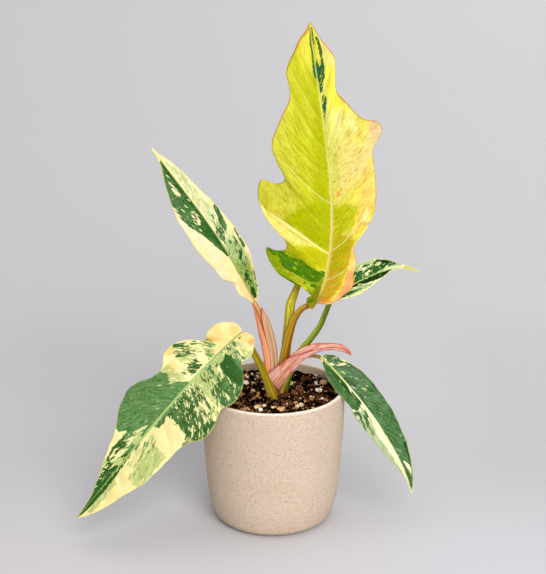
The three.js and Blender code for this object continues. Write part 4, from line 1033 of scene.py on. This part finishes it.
stalks = {}
stalks["caramel_leaf"] = {
    "slot": "amber_stalk", "face": [-0.8, -0.6, 0.3], "groove": 0.6,
    "route": [
        [6.5, 2, 108, 9, 8.5], [8, 2, 126, 9.6, 8.6], [9.7, 2, 145, 8.8, 7.6], [13.5, 1, 164.5, 7.6, 6.6],
        [18, 0.8, 178.5, 6, 5.6], [24, 0.6, 187, 5, 4.8], [31, 0.8, 190.5, 4.6, 4.4],
        [36.5, 0.5, 194.5, 4.2, 3.6], [38.5, 0.4, 199, 3.2, 2.6],
    ],
    "tones": [(200, 154, 10), (182, 140, 10), (164, 116, 16), (176, 118, 50)], "left": (184, 146, 30),
    "right": (140, 98, 4), "line": (222, 184, 70), "edge": (112, 68, 8),
}
stalks["left_leaf"] = {
    "slot": "salmon_stalk", "face": [0.3, -0.95, 0.1], "groove": 1.2,
    "route": [
        [0, -0.5, 107, 8, 5], [-0.8, -1.3, 119.5, 8.2, 4.6], [-1.3, -1.8, 135, 8.2, 4.2],
        [-2.7, -1.4, 151, 8, 4], [-5.8, -0.5, 166, 6.4, 3.8], [-9.3, 0.7, 178, 4.8, 3.4],
        [-12.8, 1.9, 187, 3.8, 3.2], [-15.5, 3.4, 192, 3.4, 3], [-18.5, 4.2, 198, 2.8, 2.2],
    ],
    "tones": [(206, 158, 96), (206, 150, 90), (180, 122, 62), (190, 140, 70)], "left": (206, 128, 84),
    "right": (180, 124, 72), "line": (226, 186, 126), "edge": (166, 88, 48),
}
stalks["front_leaf"] = {
    "slot": "green_stalk", "face": [0.6, 0.5, 0.6], "groove": 0.8,
    "route": [
        [3, -4, 101, 8, 7], [-0.2, -7.6, 111, 10.6, 8.6], [-3.8, -9.2, 123.5, 8.8, 7.8],
        [-8.5, -9.6, 136.5, 7.4, 6.8], [-13.3, -9, 147, 6.8, 6.2], [-17.5, -8, 155, 6.2, 5.6],
        [-21.5, -6.6, 161.5, 5.4, 4.8], [-26, -5.5, 165, 4.4, 3.8], [-31, -7.5, 163.5, 3, 2.6],
    ],
    "tones": [(214, 166, 84), (196, 168, 36), (180, 160, 8), (148, 140, 2)], "left": (140, 130, 2),
    "right": (200, 168, 50), "line": (232, 208, 76), "edge": (118, 94, 2),
}
stalks["right_leaf"] = {
    "slot": "green_stalk", "face": [-0.5, 0.4, 0.8], "groove": 0.4,
    "route": [
        [5, -5, 103, 6, 5.6], [6.4, -4.8, 115, 5.2, 4.8], [11, -4.4, 125.5, 4.6, 4.2],
        [17, -4, 136, 4.2, 3.8], [23.5, -3.8, 144, 4, 3.6], [31, -3, 146.6, 3.8, 3.4],
        [39, -0.8, 144.4, 3.4, 3], [44, -1.8, 139.5, 2.4, 2.2],
    ],
    "tones": [(164, 150, 40), (168, 170, 40), (170, 160, 60), (206, 160, 110)], "left": (190, 186, 90),
    "right": (150, 130, 50), "line": (206, 200, 110), "edge": (110, 86, 30),
}
stalks["back_leaf"] = {
    "slot": "green_stalk", "face": [-0.7, -0.6, 0.4], "groove": 0.5,
    "route": [
        [8, 6, 104, 8, 7], [10, 9, 113, 7.8, 7], [14, 11, 126, 7.2, 6.4], [21.3, 12, 142, 6, 5.6],
        [31.3, 13, 155, 5.2, 5], [39.3, 14.3, 166.5, 5, 4.8], [44.3, 16, 178.5, 4.8, 4.4],
        [47.6, 17.8, 186.5, 4.4, 4], [51.5, 20, 190.8, 3.8, 3.4], [57, 23.5, 193, 2.8, 2.4],
    ],
    "tones": [(160, 180, 14), (144, 168, 4), (124, 150, 0), (106, 138, 0)], "left": (152, 180, 10),
    "right": (54, 84, 0), "line": (204, 214, 80), "edge": (52, 84, 0),
}
stalks["hidden_leaf"] = {
    "slot": "green_stalk", "face": [-0.5, -0.8, 0.4], "groove": 1,
    "route": [
        [7.5, 6.5, 105, 8, 8], [8.7, 8.6, 115, 8.2, 8], [9.3, 9.3, 129, 8.5, 8],
        [11.3, 10.2, 151, 8.4, 7.4], [13.3, 13, 170.5, 8.4, 6.8], [14.8, 17, 185, 8.2, 6],
        [18.5, 21.5, 194, 6.4, 5], [22.3, 25.5, 203, 5.2, 4.2], [26.8, 29.6, 212, 4.2, 3.4],
        [28.5, 33.5, 219, 3, 2.4],
    ],
    "tones": [(198, 172, 14), (196, 184, 18), (192, 182, 34), (190, 176, 26)], "left": (180, 168, 20),
    "right": (170, 150, 8), "line": (230, 222, 96), "edge": (130, 100, 4),
}


def stalkFrame(stalk, row):
    # the middle of a stalk at its rows, with its side, its face, its width and its depth
    last = len(stalk["route"]) - 1
    route = refined(stalk["route"], row)
    behind, ahead = [refined(stalk["route"], np.clip(row + step, 0, last))[:, :3]
                     for step in (-stalkForm["probe"], stalkForm["probe"])]
    tangent = unit(ahead - behind)
    face = squared(np.array(stalk["face"], float), tangent)
    return route[:, :3], np.cross(tangent, face), face, route[:, 3], route[:, 4]


def stalkShape(stalk):
    def shape(x, y):
        middle, side, face, width, depth = stalkFrame(stalk, y * (len(stalk["route"]) - 1))
        angle = math.pi * (x + 0.5)
        groove = np.minimum(stalk["groove"], depth * stalkForm["deepest"])
        dent = groove * np.maximum(np.sin(angle), 0) ** 4
        points = middle + side * (np.cos(angle) * width / 2)[:, None]
        points = points + face * (np.sin(angle) * depth / 2 - dent)[:, None]
        return points, {"stripe": (np.cos(angle), np.sin(angle), y)}
    return shape


def stalkFinish(name, look):
    f = Finish(name, Specular_IOR_Level=0.09)
    across, facing, along = f.mark("stripe")
    fibre = f.strands(across * 4.5, facing * 4.5, along * 2.5)
    patch = f.strands(across * 1.5, facing * 1.5, along * 7, 3)
    fleck = f.cells(f.vector(across * 4, facing * 4, along * 16))
    chosen = f.split(fleck.other(1))[0].ease(0.3, 0.26)
    stretches = [(stretch, along.ease(0.12 + step * 0.28, 0.42 + step * 0.28))
                 for step, stretch in enumerate(look["tones"][1:])]
    colour = f.coats(
        look["tones"][0],
        *stretches,
        (look["left"], across.ease(-0.15, -0.8) * 0.85),
        (look["right"], across.ease(0.1, 0.75) * 0.85),
        (look["line"], fibre.ease(0.52, 0.62) * 0.55),
        (look["edge"], fibre.ease(0.45, 0.34) * 0.5 + patch.ease(0.55, 0.7) * 0.3),
        (look["line"], abs(across + 0.05).ease(0.24, 0.1) * facing.ease(0.1, 0.5) * 0.7),
        (look["edge"], abs(across).ease(0.9, 1.0) * 0.7),
        (look["edge"], fleck.ease(0.36, 0.2) * chosen * 0.6))
    f.show(Base_Color=colour, Roughness=0.36 + fibre * 0.16)
    f.show(Normal=f.bump(fibre + patch * 0.5, 0.0004, 0.6))
    return f


def makeStalk(name, stalk):
    rows = stalkForm["rowsPerPoint"] * (len(stalk["route"]) - 1)
    bm = bentGrid(stalkForm["columns"], rows, stalkShape(stalk))
    closeTube(bm)
    makePiece(name + "_stem", bm, [stalkFinish(name + "_stalk", stalk)], [name + "_stalk"])


# The left leaf's stalk is held in two thin wings, open in front. "halfWidth" and "depth" are those of the
# pair, at each row of the stalk. "top" is how far up a wing ends, and "reach" how far it turns round the
# stalk, in degrees from its side to the front and to the back. "taper" is how late and how fast it narrows,
# and "fold" where a crease is painted on it, though its shape has no crease: a dark line of painted
# shade with a pale line of painted highlight beside it.

wingLook = {
    "grid": (24, 60),
    "halfWidth": [4.9, 5.1, 5.4, 6.1, 6.0, 4.9, 3.1, 2.2, 1.8],
    "depth": [3.6, 3.4, 3.3, 3.2, 3.1, 2.9, 2.5, 2, 1.6],
    "thickness": 0.7,
    "wings": {
        "left": {
            "side": -1, "top": 0.93, "reach": (80, 84), "taper": (3, 1.0), "fold": 0.2,
            "flesh": (230, 150, 108), "streak": (240, 184, 150), "line": (206, 110, 76),
        },
        "right": {
            "side": 1, "top": 0.735, "reach": (112, 84), "taper": (9, 2.2), "fold": 0.62,
            "flesh": (190, 152, 116), "streak": (222, 186, 150), "line": (166, 108, 70),
        },
    },
    "edge": (190, 60, 44),
}


def wingShape(wing):
    stalk = stalks["left_leaf"]
    places = np.arange(len(stalk["route"]))
    power, root = wing["taper"]
    front, back = np.radians(wing["reach"])

    def shape(x, y):
        row = y * wing["top"] * places[-1]
        middle, side, face = stalkFrame(stalk, row)[:3]
        halfWidth = np.interp(row, places, wingLook["halfWidth"])
        halfDepth = np.interp(row, places, wingLook["depth"])
        spread = np.clip(1 - y ** power, 0, 1) ** (1 / root)
        angle = np.where(x > 0, x * front, x * back) * spread
        points = middle + side * (wing["side"] * np.cos(angle) * halfWidth)[:, None]
        points = points + face * (np.sin(angle) * halfDepth)[:, None]
        return points, {"stripe": (x, y, np.minimum(1 - x, (1 - y) * 6) * halfWidth * front)}
    return shape


def wingFinish(name, look):
    f = Finish(name, Specular_IOR_Level=0.2)
    x, y, toMargin = f.mark("stripe")
    fibre = f.strands(x * 8, y * 2.2, 3)
    patch = f.strands(x * 1.3, y * 6, 7, 3)
    colour = f.coats(
        look["flesh"],
        (look["streak"], fibre.ease(0.5, 0.62) * 0.6),
        (look["line"], fibre.ease(0.46, 0.36) * 0.6 + patch.ease(0.54, 0.66) * 0.35),
        # painted shade along the crease at "fold", and a painted highlight just beside it
        (look["line"], abs(x - look["fold"]).ease(0.06, 0.02) * y.ease(0.98, 0.8) * 0.85),
        (look["streak"], abs(x - look["fold"] + 0.12).ease(0.09, 0.03) * 0.5),
        (wingLook["edge"], toMargin.ease(0.9, 0.2) * 0.6 + y.ease(0.84, 1.0) * 0.5))
    f.show(Base_Color=colour, Roughness=0.4 + fibre * 0.14)
    f.show(Normal=f.bump(fibre, 0.0004, 0.6))
    return f


def makeWings():
    for name, wing in wingLook["wings"].items():
        bm = bentGrid(*wingLook["grid"], wingShape(wing))
        if wing["side"] < 0:
            bmesh.ops.reverse_faces(bm, faces=bm.faces)
        piece = makePiece("left_leaf_wing_" + name, bm, [wingFinish("wing_" + name, wing)])
        addWall(piece, wingLook["thickness"], 0)


# Bracts: a loose pink sheath folded like a gutter round its keel, and the torn scale at its foot. "roll" is
# the keel's radius at foot and tip, and "wallTurn" how steep the walls get, in degrees. The rows of "veins"
# are as in the leaves, for the far half and the near half.

bractForm = {
    "columns": 36,
    "rowsPerVein": 8,
    "thickness": 0.8,
}

bracts = {
    "pink_bract": {
        "midrib": [[5, -9.5, 119], [11, -11.5, 126], [30, -12.5, 170], [64.5, -22.5, 155]],
        "faces": [[-0.75, 0.22, 0.6], [0.2, 0.25, 0.9]],
        "roll": [2.5, 1.4],
        "wallTurn": 78,
        "veins": [
            [0, 2, 5, 5, 17.5], [7, 9, 7.5, 12, 15.5], [14, 16, 9.5, 18, 13.6], [20, 22, 10.8, 23, 12.3],
            [26, 28, 11.6, 28.5, 11], [31, 33, 11.4, 33.5, 8.6], [36.5, 38.5, 10.4, 38.5, 6.2],
            [43, 44.8, 9.4, 44.5, 4.2], [49, 49.5, 8.2, 50, 3.6], [56, 56, 6.5, 56.5, 3.1],
            [63.5, 63.5, 6.2, 64, 3.2], [68.5, 68, 6.1, 70, 3.6], [73, 72, 4.8, 74, 3],
            [76, 76, 2.8, 76.5, 1.5], [78.4, 78.4, 0.5, 78.4, 0.5],
        ],
        # streak is the bract's pale streaking, and also painted highlights towards the tip
        "flesh": (214, 136, 118), "inside": (206, 132, 100), "streak": (250, 208, 196),
        "edge": (178, 44, 36), "line": (176, 124, 62), "tip": (206, 74, 44),
    },
    "bract_remnant": {
        "midrib": [[4.6, -9.6, 110], [5.2, -10.2, 113], [4.6, -10.8, 116], [3.4, -11.2, 119]],
        "faces": [[0, 1, 0.2], [0, 1, 0.2]],
        "roll": [6, 6],
        "wallTurn": 60,
        "veins": [[0, 0, 2.6, 0, 2.6], [3, 3, 2.8, 3, 2.8], [6, 6, 1.8, 6, 1.8], [9.3, 9.3, 0.5, 9.3, 0.5]],
        "flesh": (150, 50, 44), "inside": (128, 44, 38), "streak": (200, 112, 96),
        "edge": (92, 24, 20), "line": (120, 56, 40), "tip": (100, 30, 24),
    },
}


def bractShape(bract):
    def shape(x, y):
        row = y * (len(bract["veins"]) - 1)
        start, farAlong, farOut, nearAlong, nearOut = refined(bract["veins"], row).T
        half = np.where(x < 0, -1, 1)
        end = np.where(x < 0, farAlong, nearAlong)
        width = np.where(x < 0, farOut, nearOut)
        share = np.abs(x)
        across = width * share
        origin, side, face, u = midribFrame(bract, start + (end - start) * share ** bladeForm["bend"])
        radius = bract["roll"][0] + (bract["roll"][1] - bract["roll"][0]) * u
        turn = np.minimum(across / radius, math.radians(bract["wallTurn"]))
        straight = across - radius * turn
        lift = radius * (1 - np.cos(turn)) + straight * np.sin(turn)
        reach = radius * np.sin(turn) + straight * np.cos(turn)
        points = origin + side * (half * reach)[:, None] + face * lift[:, None]
        return points, {"plan": (half * across, start, width - across), "ribs": (x, share, u)}
    return shape


def bractFinish(name, look, inside=False):
    f = Finish(name, Specular_IOR_Level=0.24)
    out, start, toMargin = f.mark("plan")
    x, _, u = f.mark("ribs")
    fibre = f.strands(x * 5, start * 0.05, 1)
    thread = f.strands(x * 14, start * 0.08, 4, 1)
    patch = f.strands(out * 0.2, start * 0.12, 5, 3)
    midline = abs(out - 7.0 + u * 3).ease(1.1, 0.3) * u.ease(0.6, 0.35)
    torn = toMargin.ease(0.8, 0.3) * 0.8 + start.ease(2.6, 0.3) * patch.ease(0.3, 0.6)
    colour = f.coats(
        look["inside"] if inside else look["flesh"],
        (look["streak"], fibre.ease(0.46, 0.6) * 0.6),
        (look["streak"], thread.ease(0.52, 0.64) * 0.5),
        # pale patches on the outer half, towards the tip, are painted highlights; the fibre and thread
        # streaks are the bract's own
        (look["streak"], patch.ease(0.48, 0.62) * u.ease(0.3, 0.6) * 0.5),
        (look["edge"], thread.ease(0.46, 0.34) * 0.5 + patch.ease(0.46, 0.34) * 0.35),
        (look["line"], midline * 0.8),
        (look["edge"], torn),
        (look["line"], u.ease(0.3, 0.05) * 0.35),
        (look["tip"], u.ease(0.86, 1.0) * 0.85))
    f.show(Base_Color=colour, Roughness=0.36 + fibre * 0.16)
    f.show(Normal=f.bump(fibre + thread * 0.5, 0.0004, 0.6))
    return f


def makeBract(name, bract):
    rows = bractForm["rowsPerVein"] * (len(bract["veins"]) - 1)
    bm = bentGrid(bractForm["columns"], rows, bractShape(bract))
    finishes = [bractFinish(name + "_inside", bract, inside=True), bractFinish(name + "_outside", bract)]
    piece = makePiece(name + "_sheath", bm, finishes, [name])
    addWall(piece, bractForm["thickness"], 0, under=1)


# Stem: the short, ringed foot that all the stalks grow from

stemLook = {
    "at": [4.5, 1],
    "radius": 7.5,
    "top": 114,
    "outline": [  # share of the radius, depth under the top
        [0, 50], [0.6, 49], [0.9, 45], [1, 36], [0.94, 26], [1, 16], [0.94, 7], [0.8, 3], [0.45, 0.6],
        [0, 0],
    ],
    "sides": 32,
    "rings": 900,
    "bark": (132, 112, 62),
    "scar": (92, 66, 40),
}


def makeStem():
    look = stemLook
    profile = refined(look["outline"], np.linspace(0, len(look["outline"]) - 1, 46))
    outline = [(max(share, 0) * look["radius"], look["top"] - depth) for share, depth in profile]
    bm = spun(outline, look["sides"])
    bmesh.ops.translate(bm, vec=(*look["at"], 0), verts=bm.verts)
    makePiece("stem_foot", bm, [barkFinish()], ["stem"])


def barkFinish():
    look = stemLook
    f = Finish("stem_bark", Roughness=0.6)
    place = f.place()
    ring = (f.split(place)[2] * look["rings"]).wave()
    fibre = f.noise(place, 500, 3)
    scarred = ring.ease(0.6, 1.0) * 0.7 + fibre.ease(0.5, 0.8) * 0.4
    f.show(Base_Color=f.mix(look["bark"], look["scar"], scarred))
    f.show(Normal=f.bump(fibre + ring * 0.4, 0.0005, 0.7))
    return f


# Soil: a rough bed with lumps and crumbs of peat, chips of bark and grains of perlite. Each kind has its
# count, its half length, how far it is stretched along x, y and z, how much it is dented, and how far it
# stands out.

soilLook = {
    "top": 109.4,
    "wallGap": 3.7,
    "wallHeights": (14, 30, 50, 70, 90, 104),
    "floor": 5.3,
    "floorGap": 8.6,
    "roughness": 1.9,
    "spread": 0.985,  # of the bed's radius, for the loose pieces
    "smallness": 1.7,  # how much commoner the small ones are
    "tilt": 0.7,
    "highest": 3.2,
    "kinds": {
        "lumps": [330, (1.8, 4.4), [(0.8, 1.2), (0.7, 1.0), (0.6, 0.9)], 0.3, (0.0, 0.7)],
        "crumbs": [820, (0.7, 1.6), [(0.7, 1.3), (0.6, 1.1), (0.5, 0.9)], 0.3, (0.3, 1.6)],
        "bark": [84, (1.6, 4.2), [(0.9, 1.3), (0.6, 0.9), (0.3, 0.5)], 0.2, (0.6, 1.1)],
        "perlite": [124, (0.9, 2.8), [(0.9, 1.2), (0.8, 1.1), (0.6, 0.9)], 0.16, (0.5, 1.1)],
    },
    "tones": {  # dark, middle and light pieces of each kind
        # the bed's near-black tones are partly the peat's own and partly painted shade in the gaps between
        # the loose pieces
        "bed": [(2, 1, 0), (8, 4, 2), (20, 12, 8)],
        "lumps": [(1, 0, 0), (18, 10, 5), (118, 76, 44)],
        "crumbs": [(2, 1, 0), (34, 19, 11), (214, 148, 92)],
        "bark": [(32, 16, 8), (146, 90, 48), (255, 208, 150)],
        "perlite": [(186, 128, 78), (248, 226, 192), (255, 250, 236)],
    },
    "seed": 23,
}


def bedHeight(x, y):
    h = np.sin(x * 0.31 + 1.3) * np.sin(y * 0.37 + 0.4) + 0.6 * np.sin(x * 0.83 + y * 0.41)
    return 0.6 * h + 0.35 * np.sin(x * 1.7 - y * 1.3)


def makeSoil():
    look = soilLook
    top = look["top"]
    edge = potRadius(top) - look["wallGap"]
    floor = [[0, look["floor"]], [potRadius(potLook["floor"]) - look["floorGap"], look["floor"]]]
    wall = [[potRadius(z) - look["wallGap"], z] for z in look["wallHeights"]]
    flat = [[radius, top] for radius in np.linspace(edge, 0, 40)]
    bm = spun(floor + wall + flat, potLook["sides"])
    for vert in bm.verts:
        if vert.co.z > top - 0.01:
            vert.co.z += look["roughness"] * float(bedHeight(vert.co.x, vert.co.y))
    makePiece("soil_bed", bm, [earthFinish("bed")], ["soil"])
    draw = random.Random(look["seed"])
    for kind, (count, size, stretch, dents, rise) in look["kinds"].items():
        bm = bmesh.new()
        own = bm.verts.layers.float_vector.new("own")
        for _ in range(count):
            radius = edge * math.sqrt(draw.random()) * look["spread"]
            turn = draw.uniform(0, math.tau)
            x, y = radius * math.cos(turn), radius * math.sin(turn)
            half = size[0] + (size[1] - size[0]) * draw.random() ** look["smallness"]
            scale = Matrix.Diagonal([half * draw.uniform(*low) for low in stretch]).to_4x4()
            turned = Matrix.Rotation(draw.uniform(0, math.tau), 4, "Z")
            tilted = Matrix.Rotation(draw.uniform(-look["tilt"], look["tilt"]), 4, "X")
            rest = top + look["roughness"] * float(bedHeight(x, y))
            lift = rest + min(half * draw.uniform(*rise), look["highest"])
            place = Matrix.Translation((x, y, lift)) @ turned @ tilted @ scale
            made = bmesh.ops.create_icosphere(bm, subdivisions=1, radius=1, matrix=place)
            mark = (draw.random(), draw.random(), lift - top)
            for vert in made["verts"]:
                vert.co += Vector([draw.uniform(-dents, dents) * half for _ in range(3)])
                vert[own] = mark
                reach = math.hypot(vert.co.x, vert.co.y) / edge
                if reach > 1:  # it stays inside the pot's wall
                    vert.co.x, vert.co.y = vert.co.x / reach, vert.co.y / reach
        piece = makePiece("soil_" + kind, bm, [earthFinish(kind)])
        if kind != "perlite":
            piece.data.shade_flat()
    print("soil made")


def earthFinish(kind):
    dark, middle, light = soilLook["tones"][kind]
    f = Finish("soil_" + kind, Specular_IOR_Level=0.02)
    place = f.place()
    choice = f.mark("own")[0]  # one number for each loose piece
    lump = f.noise(place, 420, 2, 0.65)
    grit = f.noise(place, 1100, 2)
    shade = choice * 0.7 + (lump - 0.5) * 2 + (grit - 0.5) * 2.2 + 0.1
    colour = f.mix(f.mix(dark, middle, shade.ease(0.1, 0.45)), light, shade.ease(0.45, 0.85))
    # pieces and bed darken towards their low parts: painted shade in the gaps between lumps
    colour = f.mix(dark, colour, f.split(place)[2].ease(0.1088, 0.1118) * 0.9 + 0.1)
    f.show(Base_Color=colour, Roughness=0.7 + grit * 0.25)
    f.show(Normal=f.bump(lump + grit * 0.5, 0.0016, 1.0))
    return f


# Floor, light and camera

stageLook = {
    # far and near tones paint the light's falloff: the paper is darker to the left and lighter towards the
    # front
    "far": [(185, 185, 188), (197, 198, 200)],  # the paper to the left and to the right
    "near": [(196, 194, 198), (204, 204, 209)],
    "dim": (0.95, 0.95, 0.95, 1),  # what the plant's wide shadow takes from it, to both sides
    "size": 8,  # the paper's half width and length, all in metres here
    "flat": 3.4,  # how far back the floor runs before it bends up
    "bend": 1.4,
    "eye": (0, -1.39751, 0.70111),
    "down": 19.5,
    "lens": 112.892,
    "sun": {
        "strength": 2.85, "height": 32, "turn": 17, "size": 0.65, "tint": (1.0, 0.985, 0.96),
        "at": (0.6, -1.6, 1.6),
    },
    "sky": {"low": 0.32, "high": 1.6, "edge": (0.72, 0.95), "tone": (250, 248, 249)},  # soft light overhead
}


def makeStage():
    look = stageLook
    bm = bmesh.new()
    bmesh.ops.create_grid(bm, x_segments=1, y_segments=110, size=look["size"])
    for vert in bm.verts:
        # a paper sweep: flat in front, curved up behind
        beyond = vert.co.y - look["flat"]
        turn = min(max(beyond, 0) / look["bend"], math.pi / 2)
        vert.co.y = look["flat"] + (look["bend"] * math.sin(turn) if beyond > 0 else beyond)
        vert.co.z = look["bend"] * (1 - math.cos(turn)) + max(beyond - look["bend"] * math.pi / 2, 0)
    paper = Finish("paper", Roughness=0.9, Specular_IOR_Level=0.1)
    x, y, _ = paper.split(paper.place())
    # painted light: darker to the left, a painted shadow band to both sides of the plant, lighter towards
    # the front
    far = paper.mix(*look["far"], x.ease(-0.7, 0.7))
    far = paper.mix(far, look["dim"], abs(x).ease(0.14, 0.24) * y.ease(0.55, 0.35), "MULTIPLY")
    near = paper.mix(*look["near"], x.ease(-0.25, 0.25))
    paper.show(Base_Color=paper.mix(far, near, y.ease(0.12, -0.12)))
    sweep = addMesh("paper_sweep", bm, [paper])


def makeLight():
    sun = stageLook["sun"]
    light = bpy.data.lights.new("key", "SUN")
    light.energy = sun["strength"]
    light.angle = sun["size"]
    light.color = sun["tint"]
    lamp = addObject("key", light)
    lamp.location = sun["at"]
    lamp.rotation_euler = (math.radians(90 - sun["height"]), 0, math.radians(sun["turn"]))
    sky = stageLook["sky"]
    world = bpy.data.worlds.new("studio")
    world.use_nodes = True
    nodes, links = world.node_tree.nodes, world.node_tree.links
    coordinate = nodes.new("ShaderNodeTexCoord")
    parts = nodes.new("ShaderNodeSeparateXYZ")
    height = nodes.new("ShaderNodeMapRange")
    height.interpolation_type = "SMOOTHSTEP"
    height.inputs["From Min"].default_value, height.inputs["From Max"].default_value = sky["edge"]
    height.inputs["To Min"].default_value = sky["low"]
    height.inputs["To Max"].default_value = sky["high"]
    links.new(coordinate.outputs["Generated"], parts.inputs[0])
    links.new(parts.outputs["Z"], height.inputs["Value"])
    links.new(height.outputs[0], nodes["Background"].inputs["Strength"])
    nodes["Background"].inputs["Color"].default_value = tone(sky["tone"])
    bpy.context.scene.world = world


def makeCamera():
    lens = bpy.data.cameras.new("camera")
    lens.lens = stageLook["lens"]
    lens.sensor_width = 36
    camera = addObject("camera", lens)
    camera.location = stageLook["eye"]
    camera.rotation_euler = (math.radians(90 - stageLook["down"]), 0, 0)
    bpy.context.scene.camera = camera


makeCamera()
makeLight()
makeStage()
makePot()
makeSoil()
makeStem()
for leafName, leafLook in leaves.items():
    makeBlade(leafName, leafLook)
for leafName, stalkLook in stalks.items():
    makeStalk(leafName, stalkLook)
makeWings()
for bractName, bractLook in bracts.items():
    makeBract(bractName, bractLook)

bpy.context.scene.view_settings.view_transform = "Standard"
